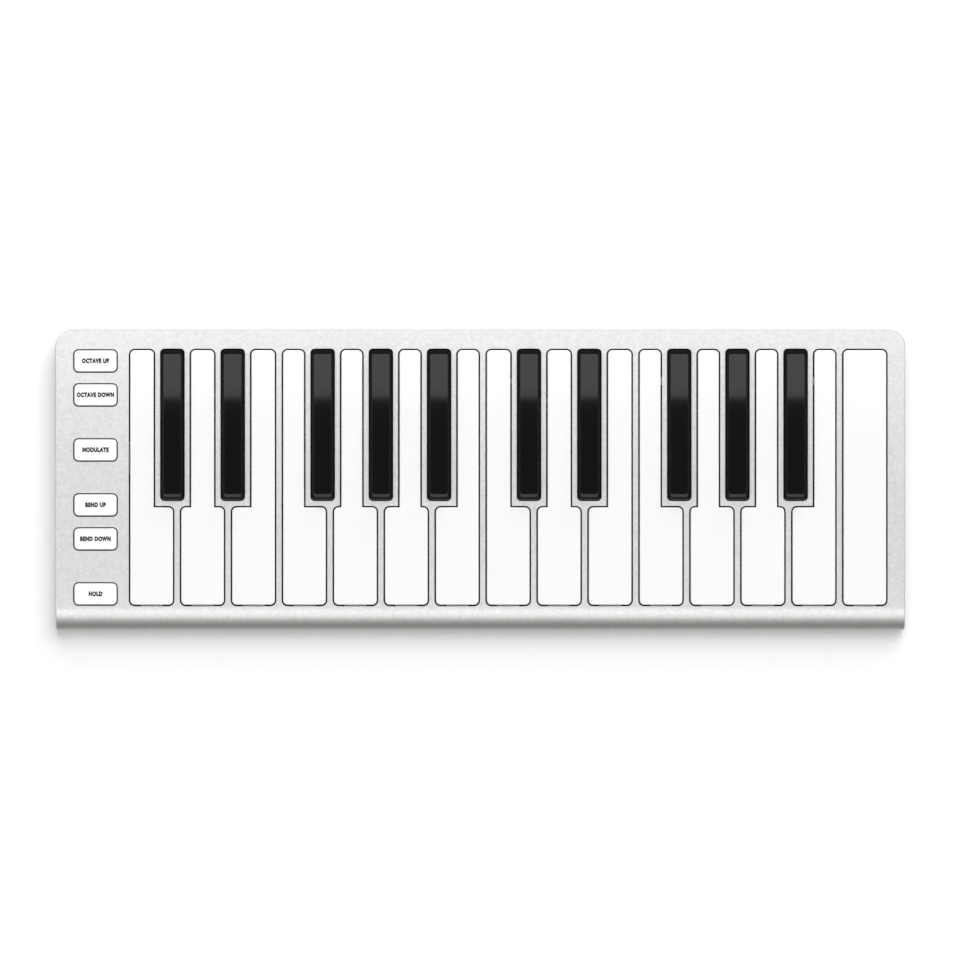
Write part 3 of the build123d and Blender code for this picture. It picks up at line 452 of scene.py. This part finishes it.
def black_matt():
    """Black plastic with a fine sparked texture, matt from the mould: a black key's sides."""
    r = Recipe("black_key_matt", (0.004, 0.004, 0.004), 0.5)
    r.set(IOR=1.5, Specular_IOR_Level=0.02)
    texture = r.noise(2200, 3.0, 0.6)
    r.drive("Base Color", r.mix(texture, (0.0025, 0.0025, 0.0026), (0.006, 0.006, 0.0062)))
    r.drive("Roughness", r.span(texture, 0.3, 0.7, 0.42, 0.6))
    return r.bump(texture, 0.02 * MM, 0.4).material


def button_plastic():
    """Satin white button plastic."""
    r = Recipe("button_plastic", (0.93, 0.93, 0.925), 0.35)
    haze = r.noise(150, 3.0)
    r.drive("Base Color", r.mix(haze, (0.92, 0.92, 0.915), (0.94, 0.94, 0.935)))
    r.drive("Roughness", r.span(haze, 0.3, 0.7, 0.3, 0.42))
    return r.bump(r.noise(1800, 2.0), 0.006 * MM, 0.4).material


def label_ink():
    """Dark screen-printed ink."""
    r = Recipe("label_ink", (0.012, 0.012, 0.013), 0.7)
    r.set(Specular_IOR_Level=0.2)
    r.drive("Base Color", r.mix(r.noise(4000, 2.0), (0.008, 0.008, 0.009), (0.018, 0.018, 0.019)))
    return r.bump(r.noise(5000, 2.0), 0.004 * MM, 0.5).material


def moulded_plastic(name, colour, roughness=0.55, grain=1400):
    """Moulded plastic with a spark-eroded texture."""
    r = Recipe(name, colour, roughness)
    texture = r.noise(grain, 3.0, 0.6)
    light = tuple(min(c * 1.12 + 0.004, 1.0) for c in colour)
    dark = tuple(c * 0.88 for c in colour)
    r.drive("Base Color", r.mix(texture, dark, light))
    handling = r.noise(90, 3.0)
    r.drive("Roughness", r.span(handling, 0.3, 0.7, roughness - 0.07, roughness + 0.08))
    return r.bump(texture, 0.03 * MM, 0.5).material


def foot_rubber():
    """Matt black rubber, slightly dusty."""
    r = Recipe("foot_rubber", (0.03, 0.03, 0.03), 0.85)
    dust = r.noise(500, 5.0, 0.7)
    r.drive("Base Color", r.mix(dust, (0.018, 0.018, 0.018), (0.06, 0.058, 0.055)))
    return r.bump(dust, 0.04 * MM, 0.6).material


def plated_sheet():
    """Black-passivated steel sheet with a fine spangle."""
    r = Recipe("plated_sheet", (0.05, 0.05, 0.055), 0.4, 1.0)
    spangle = r.cells(180)
    r.drive("Base Color", r.mix(r.noise(25, 3.0), (0.04, 0.04, 0.043), (0.07, 0.07, 0.077)))
    r.drive("Roughness", r.span(spangle, 0.0, 1.0, 0.3, 0.5))
    return r.bump(r.noise(900, 2.0), 0.01 * MM, 0.3).material


def bright_steel(name, colour, roughness, scale):
    """Ground or plated steel with fine lines along `scale`."""
    r = Recipe(name, colour, roughness, 1.0)
    lines = r.noise(1.0, 3.0, 0.6, r.stretched(scale))
    dark = tuple(c * 0.82 for c in colour)
    r.drive("Base Color", r.mix(lines, dark, colour))
    r.drive("Roughness", r.span(lines, 0.3, 0.7, roughness - 0.08, roughness + 0.1))
    return r.bump(lines, 0.006 * MM, 0.4).material


def circuit_board():
    """Black solder mask over copper tracks."""
    r = Recipe("circuit_board", (0.008, 0.012, 0.01), 0.3)
    tracks = r.nodes.new("ShaderNodeTexBrick")
    tracks.inputs["Scale"].default_value = 260
    tracks.inputs["Mortar Size"].default_value = 0.08
    tracks.inputs["Color1"].default_value = (0, 0, 0, 1)
    tracks.inputs["Color2"].default_value = (0.15, 0.15, 0.15, 1)
    tracks.inputs["Mortar"].default_value = (1, 1, 1, 1)
    r.links.new(r.coordinates, tracks.inputs["Vector"])
    pattern = tracks.outputs["Color"]
    r.drive("Base Color", r.mix(pattern, (0.006, 0.009, 0.008), (0.02, 0.028, 0.022)))
    r.drive("Roughness", r.span(r.noise(120, 3.0), 0.3, 0.7, 0.24, 0.4))
    return r.bump(pattern, 0.03 * MM, 0.4).material


def silicone():
    """Dark grey silicone rubber, its darkness also painted shade where it shows through the key
    gaps.
    """
    r = Recipe("silicone", (0.05, 0.05, 0.053), 0.5)
    clouds = r.noise(220, 3.0)
    r.drive("Base Color", r.mix(clouds, (0.038, 0.038, 0.04), (0.065, 0.065, 0.069)))
    return r.bump(r.noise(1600, 2.0), 0.01 * MM, 0.4).material


def felt():
    """Pressed charcoal felt: crossed fibres."""
    r = Recipe("felt", (0.03, 0.03, 0.032), 0.95)
    r.set(Sheen_Weight=0.4, Sheen_Roughness=0.5)
    fibres = r.noise(1.0, 5.0, 0.75, r.stretched((5000, 900, 2500)))
    r.drive("Base Color", r.mix(fibres, (0.015, 0.015, 0.016), (0.05, 0.05, 0.053)))
    return r.bump(fibres, 0.08 * MM, 0.8).material


def chip_epoxy():
    """Black moulded epoxy over tinned leads: the leads lie low on the board."""
    r = Recipe("chip_epoxy", (0.02, 0.02, 0.022), 0.6)
    lead_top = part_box("key_board")[1].z + 0.34 * MM
    is_body = r.span(r.height(), lead_top, lead_top + 0.04 * MM, 0.0, 1.0)
    speckle = r.noise(3000, 3.0)
    epoxy = r.mix(speckle, (0.014, 0.014, 0.016), (0.035, 0.035, 0.038))
    r.drive("Base Color", r.mix(is_body, (0.62, 0.62, 0.6), epoxy))
    r.drive("Metallic", r.span(is_body, 0.0, 1.0, 1.0, 0.0))
    r.drive("Roughness", r.span(is_body, 0.0, 1.0, 0.3, 0.65))
    return r.bump(speckle, 0.01 * MM, 0.5).material


def ribbon_film():
    """White film with printed silver conductors along its length."""
    r = Recipe("ribbon_film", (0.85, 0.85, 0.83), 0.45)
    wave = r.nodes.new("ShaderNodeTexWave")
    wave.bands_direction = "Y"
    wave.inputs["Scale"].default_value = 160
    r.links.new(r.coordinates, wave.inputs["Vector"])
    r.drive("Base Color", r.mix(wave.outputs["Fac"], (0.86, 0.86, 0.84), (0.45, 0.45, 0.46)))
    return r.bump(wave.outputs["Fac"], 0.02 * MM, 0.5).material


# ---------------------------------------------------------------------------------------
# The case
# ---------------------------------------------------------------------------------------
def case_solid(inset, edge_round, bottom):
    """The case's outer form, drawn in by `inset`: flat deck, rolled front, rounded top edge."""
    low_x, high_x = SHELL_LOW.x + inset, SHELL_HIGH.x - inset
    front, rear = SHELL_LOW.y + inset, SHELL_HIGH.y - inset
    base, top = SHELL_LOW.z, DECK - inset
    roll = ROLL - inset
    corner = REAR_CORNER - inset
    flat_margin = 0.5 * MM
    roll_steps, corner_steps, edge_steps = 28, 14, 5

    turns = [math.pi / 2 * k / roll_steps for k in range(roll_steps + 1)]
    side = [(front + roll * (1 - math.cos(t)), base + roll * math.sin(t)) for t in turns]
    side.append((front + roll + flat_margin, top))

    insets = [(0.0, 0.0)]
    if edge_round:
        insets = arc_drops(edge_round, edge_steps)
        insets.append((edge_round + flat_margin, 0.0))

    # each ring runs from the front left foot over the roll, round the rear and back down
    bm = bmesh.new()
    rings = []
    for d, drop in insets:
        ring = [(low_x + d, y, base + (z - base) * (1 - drop / roll)) for y, z in side]
        for centre_x, start in ((low_x + corner, math.pi), (high_x - corner, math.pi / 2)):
            for k in range(corner_steps + 1):
                t = start - math.pi / 2 * k / corner_steps
                x = centre_x + (corner - d) * math.cos(t)
                y = rear - corner + (corner - d) * math.sin(t)
                ring.append((x, y, top - drop))
        ring += [(high_x - d, y, base + (z - base) * (1 - drop / roll)) for y, z in reversed(side)]
        rings.append([bm.verts.new(p) for p in ring])
    for a, b in zip(rings, rings[1:]):
        for i in range(len(a) - 1):
            bm.faces.new((a[i], a[i + 1], b[i + 1], b[i]))

    # the roll and the deck inside the last ring
    last = rings[-1]
    count = len(side)
    for j in range(count - 1):
        bm.faces.new((last[j], last[j + 1], last[-2 - j], last[-1 - j]))
    bm.faces.new(last[count - 1 : len(last) - count + 1])

    # the walls under the first ring, and the base
    feet = [bm.verts.new((v.co.x, v.co.y, bottom)) for v in rings[0]]
    for i in range(len(feet) - 1):
        bm.faces.new((feet[i], feet[i + 1], rings[0][i + 1], rings[0][i]))
    if bottom < base:
        bm.faces.new((feet[0], rings[0][0], rings[0][-1], feet[-1]))
        bm.faces.new(feet)
    else:
        front_line = [ring[-1] for ring in rings[1:]] + [ring[0] for ring in reversed(rings[1:])]
        bm.faces.new(feet + front_line)
    return finish_mesh(bm, "case_solid")


def opening_cutters():
    """One mesh of all the openings in the deck, each with a softly rounded upper edge."""
    r = OPENING_ROUND
    outlines = [(white_key_corners(name), WHITE_GAP) for name in WHITE_KEYS]
    for name in BLACK_KEYS:
        outlines.append((box_corners(*black_key_rectangle(name), BLACK_CORNER), BLACK_GAP))
    for name in LABELS:
        outlines.append((box_corners(*button_rectangle(name), BUTTON_CORNER), BUTTON_GAP))
    bm = bmesh.new()
    for corners, gap in outlines:
        levels = [(gap, DECK - WALL - PASS), (gap, DECK - r), (gap + 0.3 * r, DECK - 0.3 * r)]
        levels += [(gap + r, DECK), (gap + 1.6 * r, DECK + 0.2 * r)]
        outline_solid(bm, corners, levels)
    return finish_mesh(bm, "openings")


def usb_cutter():
    """The USB mouth through the rear wall, eased at its outer edge."""
    low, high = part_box("usb_contact_tongue")
    socket_low, socket_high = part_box("usb_socket_shell")
    centre = (low + high) / 2
    half_width, corner, clearance = 4.35 * MM, 1.1 * MM, 0.4 * MM
    middle_z = (socket_low.z + socket_high.z) / 2
    half_height = (socket_high.z - socket_low.z) / 2 + clearance
    corners = box_corners(
        Vector((centre.x - half_width, middle_z - half_height)),
        Vector((centre.x + half_width, middle_z + half_height)),
        corner,
    )
    rear, ease, past = SHELL_HIGH.y, 0.2 * MM, 0.3 * MM
    levels = [(0, rear - WALL - PASS), (0, rear - ease), (ease, rear), (ease + past, rear + past)]
    bm = bmesh.new()
    loft(bm, [[(p.x, y, p.y) for p in rounded_outline(corners, grow)] for grow, y in levels])
    return finish_mesh(bm, "usb_opening")


def boss_cutters():
    """Screw bosses, each with its blind hole, on the axes of the case screws."""
    hole, boss, same_screw = 1.0 * MM, 2.5 * MM, 3.0 * MM
    screws = frame["nodes"]["case_screws"].data.vertices
    tip = max(v.co.z for v in screws)
    tips = [v.co for v in screws if v.co.z > tip - 0.01 * MM]
    # each axis is the mean of its tip's points, with their count
    axes = []
    for point in tips:
        near = next((a for a in axes if (a[0] - point.xy).length < same_screw), None)
        if near is None:
            axes.append([point.xy.copy(), 1])
        else:
            near[0] = (near[0] * near[1] + point.xy) / (near[1] + 1)
            near[1] += 1
    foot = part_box("chassis_plate")[1].z
    levels = [(hole, tip + 0.2 * MM), (hole, foot), (boss, foot), (boss, DECK + 5 * PASS)]
    bm = bmesh.new()
    for centre, _ in axes:
        lathe(bm, centre, levels)
    return finish_mesh(bm, "bosses")


def build_shell(material):
    """Top shell: outer form less its cavity, with bosses left standing, then the openings."""
    cavity = combine(case_solid(WALL, 0, SHELL_LOW.z - 2 * PASS), boss_cutters(), "DIFFERENCE")
    shell = combine(case_solid(0, DECK_ROUND, SHELL_LOW.z), cavity, "DIFFERENCE")
    shell = combine(shell, opening_cutters(), "DIFFERENCE")
    shell = combine(shell, usb_cutter(), "DIFFERENCE")
    mesh = paint(shade(shell), material)
    piece("shell_blasted", mesh, "case", "top_shell")


# ---------------------------------------------------------------------------------------
# Keys
# ---------------------------------------------------------------------------------------
def hinge_barrel(centre_x, axis):
    """The bored barrel on the hinge rod."""
    ease, steps = 0.15 * MM, 36
    stations = [(-HALF_ARM, BORE_RADIUS), (-HALF_ARM, BARREL_RADIUS - ease)]
    stations += [(-HALF_ARM + ease, BARREL_RADIUS), (HALF_ARM - ease, BARREL_RADIUS)]
    stations += [(HALF_ARM, BARREL_RADIUS - ease), (HALF_ARM, BORE_RADIUS)]
    turns = [2 * math.pi * i / steps for i in range(steps)]
    rings = []
    for x, radius in stations:
        spokes = [(radius * math.cos(t), radius * math.sin(t)) for t in turns]
        rings.append([(centre_x + x, axis.y + across, axis.z + up) for across, up in spokes])
    bm = bmesh.new()
    loft(bm, rings, ends="looped")
    return finish_mesh(bm, "barrel")


def add_underside(mesh, name, skin, guide_bottom, half_lip, front, rear, arm_x):
    """Joins on what a key carries underneath: plunger, guide ribs, stop lip and hinge."""
    low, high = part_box(name)
    centre_x = (low.x + high.x) / 2
    kind = name.split("_")[0]
    dome_low, dome_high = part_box(kind + "_dome_strip")
    rail_low, rail_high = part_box(kind + "_guide_rail")
    rod_low, rod_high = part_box("hinge_rod")
    dome_y = (dome_low.y + dome_high.y) / 2
    guide_y = (rail_low.y + rail_high.y) / 2
    axis = (rod_low + rod_high) / 2
    inside, ease, barrel_overlap = skin + JOIN, 0.2 * MM, 1.4 * MM

    blocks = []
    for sign in (-1, 1):
        near, far = sorted((centre_x + sign * GUIDE_NEAR, centre_x + sign * GUIDE_FAR))
        rib = (near, guide_y - HALF_GUIDE, guide_bottom), (far, guide_y + HALF_GUIDE, inside)
        blocks.append(rib)
    lip_low = (centre_x - half_lip, low.y, SKIRT_BOTTOM)
    arm_low = (arm_x - HALF_ARM, rear - PASS, ARM_BOTTOM)
    blocks.append((lip_low, (centre_x + half_lip, front + PASS, LIP_TOP)))
    blocks.append((arm_low, (arm_x + HALF_ARM, axis.y - barrel_overlap, ARM_TOP)))

    bm = bmesh.new()
    levels = [(PLUNGER_RADIUS - ease, PLUNGER_BOTTOM), (PLUNGER_RADIUS, PLUNGER_BOTTOM + ease)]
    lathe(bm, Vector((centre_x, dome_y)), levels + [(PLUNGER_RADIUS, inside)])
    parts = [finish_mesh(bm, "plunger")]
    for block_low, block_high in blocks:
        bm = bmesh.new()
        block(bm, block_low, block_high)
        parts.append(finish_mesh(bm, "block"))
    parts.append(hinge_barrel(arm_x, axis))
    for part in parts:
        mesh = combine(mesh, part, "UNION")
    return mesh


def white_key_mesh(name):
    """A white key: thin skin with an eased edge, hollow underneath."""
    corners = white_key_corners(name)
    low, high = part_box(name)
    top = high.z
    skin = top - 1.6 * MM
    skirt, ease, edge = 1.2 * MM, 0.15 * MM, 0.4 * MM
    levels = [(-skirt, skin), (-skirt, SKIRT_BOTTOM + ease), (ease - skirt, SKIRT_BOTTOM)]
    levels += [(-ease, SKIRT_BOTTOM), (0, SKIRT_BOTTOM + ease)]
    levels += quarter_round(edge, 5, 0, top - 0.04 * MM)
    levels += [(-edge - 0.25 * MM, top - 0.025 * MM), (-edge - 0.9 * MM, top)]
    bm = bmesh.new()
    outline_solid(bm, corners, levels)
    mesh = finish_mesh(bm, "white_key")
    rear_edges = [x for x, y, _ in corners if y > WHITE_REAR - PASS]
    arm_x = (min(rear_edges) + max(rear_edges)) / 2
    front = low.y + WHITE_LIP
    sizes = (skin, WHITE_GUIDE_BOTTOM, WHITE_HALF_LIP, front, WHITE_REAR, arm_x)
    return shade(add_underside(mesh, name, *sizes))


def black_key_mesh(name):
    """A black key: sloping sides and ends, a gently crowned top, hollow underneath."""
    low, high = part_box(name)
    flat_low, flat_high = black_key_rectangle(name)
    bottom = SKIRT_BOTTOM / MM
    skin = high.z - 2.0 * MM
    # each level's insets at the sides, front and rear, corner radius and height, all in mm
    levels = [
        (1.3, 1.3, 1.3, 0.3, skin / MM),
        (1.3, 1.3, 1.3, 0.3, bottom + 0.15),
        (1.15, 1.3, 1.3, 0.4, bottom),
        (0.15, 0.15, 0.15, 1.2, bottom),
        (0.0, 0.0, 0.0, 1.4, bottom + 0.15),
        (0.0, 0.0, 0.0, 1.4, 12.4),
        (0.04, 0.04, 0.06, 1.35, 12.5),
        (0.1, 0.38, 0.16, 1.3, 12.58),
        (0.16, 0.46, 0.3, 1.3, 12.8),
        (0.7, 1.02, 1.3, 1.15, 15.05),
        (0.82, 1.12, 1.6, 1.1, 15.32),
        (0.9, 1.24, 1.75, 1.1, 15.44),
        (1.0, 2.12, 1.88, 1.05, 15.8),
        (1.12, 2.3, 1.98, 1.0, 15.88),
        (1.3, 2.46, 2.1, 0.9, 15.93),
        (1.6, 2.7, 2.4, 0.8, 15.965),
        (2.2, 3.5, 3.1, 0.6, 15.975),
        (3.4, 5.6, 4.6, 0.4, 15.985),
        (4.4, 12.0, 10.0, 0.2, 15.995),
    ]
    rings = []
    for level in levels:
        side, front, rear, radius, z = (value * MM for value in level)
        a = Vector((flat_low.x + side, flat_low.y + front))
        b = Vector((flat_high.x - side, flat_high.y - rear))
        rings.append([(p.x, p.y, z) for p in rounded_outline(box_corners(a, b, radius), 0)])
    bm = bmesh.new()
    loft(bm, rings)
    mesh = finish_mesh(bm, "black_key")
    centre_x = (low.x + high.x) / 2
    sizes = (skin, BLACK_GUIDE_BOTTOM, BLACK_HALF_LIP, flat_low.y, flat_high.y, centre_x)
    return shade(add_underside(mesh, name, *sizes))


def build_keys():
    """All keys: those of one outline share a mesh, and each rides on its own body."""
    white, polish, matt = white_plastic(), black_polish(), black_matt()
    # black acetal hinge, its darkness also painted shade in the gap behind each white key
    acetal_and_painted_shade = moulded_plastic("hinge_acetal_painted_shade", (0.02, 0.02, 0.021), 0.45)
    shapes = {}
    for name in WHITE_KEYS + BLACK_KEYS:
        is_white = name in WHITE_KEYS
        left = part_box(name)[0].x
        corners = white_key_corners(name) if is_white else []
        outline = tuple(round((x - left) / MM, 2) for x, _, _ in corners)
        if outline not in shapes:
            if is_white:
                mesh = paint(white_key_mesh(name), white, acetal_and_painted_shade, is_hinge)
            else:
                mesh = paint(black_key_mesh(name), polish, matt, is_below_top)
            shapes[outline] = (mesh, left)
        mesh, built_at = shapes[outline]
        piece(name + "_moulding", mesh, name, name, (left - built_at, 0, 0))


# ---------------------------------------------------------------------------------------
# Buttons
# ---------------------------------------------------------------------------------------
def button_mesh(name):
    """A button cap: eased top, hollow, with a lipped retaining flange and a plunger."""
    low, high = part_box(name)
    corners = box_corners(*button_rectangle(name), BUTTON_CORNER)
    top = high.z
    wall, flange, lip, ease, edge = 1.2 * MM, BUTTON_FLANGE, 0.55 * MM, 0.12 * MM, 0.35 * MM
    skin, flange_low, flange_high, groove = top - wall, 9.3 * MM, 10.3 * MM, 9.65 * MM
    levels = [(-wall, skin), (-wall, flange_low + ease), (ease - wall, flange_low)]
    levels += [(flange - ease, flange_low), (flange, flange_low + ease)]
    levels += [(flange, flange_high - ease), (flange - ease, flange_high)]
    levels += [(lip + ease, flange_high), (lip, flange_high - ease)]
    levels += [(lip, groove), (-BUTTON_TRIM, groove)]
    levels += quarter_round(edge, 5, -BUTTON_TRIM, top)
    levels += [(-0.7 * MM, top), (-1.6 * MM, top - 0.01 * MM), (-3.0 * MM, top - 0.02 * MM)]
    bm = bmesh.new()
    outline_solid(bm, corners, levels)
    cap = finish_mesh(bm, "button")
    radius, chamfer = 2.2 * MM, 0.2 * MM
    levels = [(radius - chamfer, low.z), (radius, low.z + chamfer), (radius, skin + JOIN)]
    bm = bmesh.new()
    lathe(bm, ((low + high) / 2).xy, levels)
    return shade(combine(cap, finish_mesh(bm, "plunger"), "UNION"))


def label_mesh(text):
    """Small bold printed capitals, as a thin closed mesh centred on the origin."""
    curve = bpy.data.curves.new("label", "FONT")
    curve.body = text
    curve.size = 2.6 * MM
    curve.align_x = "CENTER"
    curve.align_y = "CENTER"
    curve.offset = 0.2 * MM
    curve.extrude = 0.012 * MM
    curve.space_character = 1.16
    curve.resolution_u = 4
    carrier = add_object("label", curve)
    mesh = evaluated_mesh(carrier)
    bpy.data.objects.remove(carrier)
    narrow = 0.78
    mesh.transform(Matrix.Diagonal((narrow, 1, 1, 1)))
    return mesh


def build_buttons():
    """The six caps, which share one mesh, and the printed word on each."""
    ink = label_ink()
    first = list(LABELS)[0]
    # dark carrier plastic for the flange, its darkness also painted shade in the gap round each
    # cap
    carrier = moulded_plastic("button_carrier_painted_shade", (0.03, 0.03, 0.032), 0.5)
    cap = paint(button_mesh(first), button_plastic(), carrier, is_carrier)
    first_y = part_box(first)[0].y
    for name, text in LABELS.items():
        low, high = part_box(name)
        piece(name + "_cap", cap, name, name, (0, low.y - first_y, 0))
        place = ((low.x + high.x) / 2, (low.y + high.y) / 2, high.z)
        word = paint(label_mesh(text), ink)
        piece(name + "_label", word, name, place=place)


# ---------------------------------------------------------------------------------------
# CAD nodes that keep their shape
# ---------------------------------------------------------------------------------------
def dress_nodes():
    """Materials for the carried-over nodes, by their record slot."""
    steel = (0.62, 0.62, 0.63)
    finishes = {
        "cover_plastic": moulded_plastic("cover_plastic", (0.5, 0.5, 0.51), 0.5),
        "foot_rubber": foot_rubber(),
        "chassis_steel": plated_sheet(),
        "insulator_film": moulded_plastic("insulator_film", (0.02, 0.02, 0.022), 0.35, 400),
        "circuit_board": circuit_board(),
        # the silicone is dark grey, its darkness also painted shade where it shows through the key
        # gaps
        "silicone": silicone(),
        # black plastic, its darkness also painted shade where it shows through the key gaps
        "black_plastic": moulded_plastic("black_plastic", (0.03, 0.03, 0.032), 0.5),
        "bright_steel": bright_steel("ground_rod", (0.7, 0.7, 0.7), 0.25, (40, 2500, 2500)),
        "felt": felt(),
        "plated_steel": bright_steel("tinned_shell", (0.75, 0.75, 0.74), 0.3, (900, 200, 900)),
        "chip_plastic": chip_epoxy(),
        "capacitor_ceramic": moulded_plastic("capacitor_ceramic", (0.45, 0.3, 0.17), 0.5, 2500),
        "ribbon_plastic": ribbon_film(),
        "connector_plastic": moulded_plastic("connector_plastic", (0.76, 0.71, 0.58), 0.5),
        "screw_steel": bright_steel("screw_steel", steel, 0.32, (1500, 1500, 300)),
    }
    for part in frame["record"]["subparts"]:
        if part["material_slot"] in finishes:
            node = frame["nodes"][part["node"]]
            for index in range(len(node.material_slots)):
                node.material_slots[index].material = finishes[part["material_slot"]]


# ---------------------------------------------------------------------------------------
# Stage, light and camera
# ---------------------------------------------------------------------------------------
def build_stage():
    """A plain white floor."""
    reach = 3.0
    bm = bmesh.new()
    corners = [(-reach, -reach, 0), (reach, -reach, 0), (reach, reach, 0), (-reach, reach, 0)]
    bm.faces.new([bm.verts.new(p) for p in corners])
    floor = add_object("floor", finish_mesh(bm, "floor"))
    paper = Recipe("floor_paper", (0.98, 0.98, 0.98), 0.9)
    fibres = paper.noise(30, 2.0)
    paper.drive("Base Color", paper.mix(fibres, (0.975, 0.975, 0.975), (0.985, 0.985, 0.985)))
    floor.data.materials.append(paper.material)
    floor.visible_glossy = False


def add_lamp(name, light, facing):
    """A lamp object that shines along `facing` and isn't seen itself."""
    lamp = add_object(name, light)
    lamp.rotation_euler = Vector(facing).to_track_quat("-Z", "Y").to_euler()
    lamp.visible_camera = False
    return lamp


def broad_sun(name, direction, strength, spread):
    """Light from one direction, spread over some degrees, that fills but doesn't glint."""
    light = bpy.data.lights.new(name, "SUN")
    light.energy = strength
    light.angle = math.radians(spread)
    add_lamp(name, light, -Vector(direction)).visible_glossy = False


def softbox(name, place, aim, size, radiance):
    """A rectangle of a given radiance, facing a point, that glints but doesn't fill."""
    light = bpy.data.lights.new(name, "AREA")
    light.shape = "RECTANGLE"
    light.size, light.size_y = size
    light.energy = radiance * math.pi * size[0] * size[1]
    lamp = add_lamp(name, light, Vector(aim) - Vector(place))
    lamp.location = place
    lamp.visible_diffuse = False


def build_world():
    """Soft surroundings that brighten and dim with height, and a plain white backdrop."""
    world = bpy.data.worlds.new("surroundings")
    bpy.context.scene.world = world
    world.use_nodes = True
    nodes, links = world.node_tree.nodes, world.node_tree.links
    direction = nodes.new("ShaderNodeTexCoord").outputs["Generated"]
    split = nodes.new("ShaderNodeSeparateXYZ")
    links.new(direction, split.inputs["Vector"])
    height = nodes.new("ShaderNodeMapRange")
    height.inputs["From Min"].default_value = -1.0
    links.new(split.outputs["Z"], height.inputs["Value"])
    ramp = nodes.new("ShaderNodeValToRGB")
    links.new(height.outputs["Result"], ramp.inputs["Fac"])
    # brightness and share of blue by height, from straight down (0) to straight up (1)
    stops = [(0.0, 0.6, 1.0), (0.15, 0.4, 0.95), (0.35, 0.11, 0.95), (0.5, 0.33, 0.95)]
    stops += [(0.75, 0.15, 1.0), (0.92, 0.48, 1.0), (0.965, 0.12, 1.0)]
    elements = ramp.color_ramp.elements
    while len(elements) < len(stops):
        elements.new(0.5)
    for element, (position, value, blue) in zip(elements, stops):
        element.position = position
        element.color = (value, value, value * blue, 1)
    backdrop = nodes.new("ShaderNodeMix")
    backdrop.data_type = "RGBA"
    links.new(nodes.new("ShaderNodeLightPath").outputs["Is Camera Ray"], backdrop.inputs["Factor"])
    surroundings, plain = [i for i in backdrop.inputs if i.type == "RGBA"]
    links.new(ramp.outputs["Color"], surroundings)
    plain.default_value = (1, 1, 1, 1)
    result = next(o for o in backdrop.outputs if o.type == "RGBA")
    links.new(result, nodes["Background"].inputs["Color"])


def build_light():
    """Softboxes overhead that leave a dim gap, one at the left, and two broad suns that fill."""
    build_world()
    height, length = 0.35, 1.2
    # where each overhead panel starts and ends from front to rear, and its radiance
    panels = [
        ("rear_glint", 0.0395, 0.69, 1.4),
        ("front_glint", -0.224, -0.089, 1.45),
        ("far_front_glint", -0.76, -0.224, 0.92),
    ]
    for name, start, end, radiance in panels:
        middle = (start + end) / 2
        softbox(name, (0, middle, height), (0, middle, 0), (length, end - start), radiance)
    softbox("left_glint", (-1.1, 0, 0.45), (-0.2, 0, 0.01), (0.8, 1.0), 1.05)
    broad_sun("rear_fill", (0.35, 1.35, 0.95), 3.3, 62)
    broad_sun("front_fill", (0.15, -0.6, 1.5), 0.75, 90)


def build_camera():
    """Straight above the case, from far enough that its side walls stay hidden."""
    seen_width, off_x, off_y = 437.6 * MM, -0.23 * MM, -0.12 * MM
    data = bpy.data.cameras.new("camera")
    data.lens = 500.0
    data.sensor_width = 36.0
    data.clip_end = 50.0
    camera = add_object("camera", data)
    camera.location = (off_x, off_y, DECK + seen_width * data.lens / data.sensor_width)
    bpy.context.scene.camera = camera


build_camera()
build_stage()
build_light()
build_shell(blasted_aluminium())
build_keys()
build_buttons()
dress_nodes()
bpy.context.scene.view_settings.view_transform = "Standard"
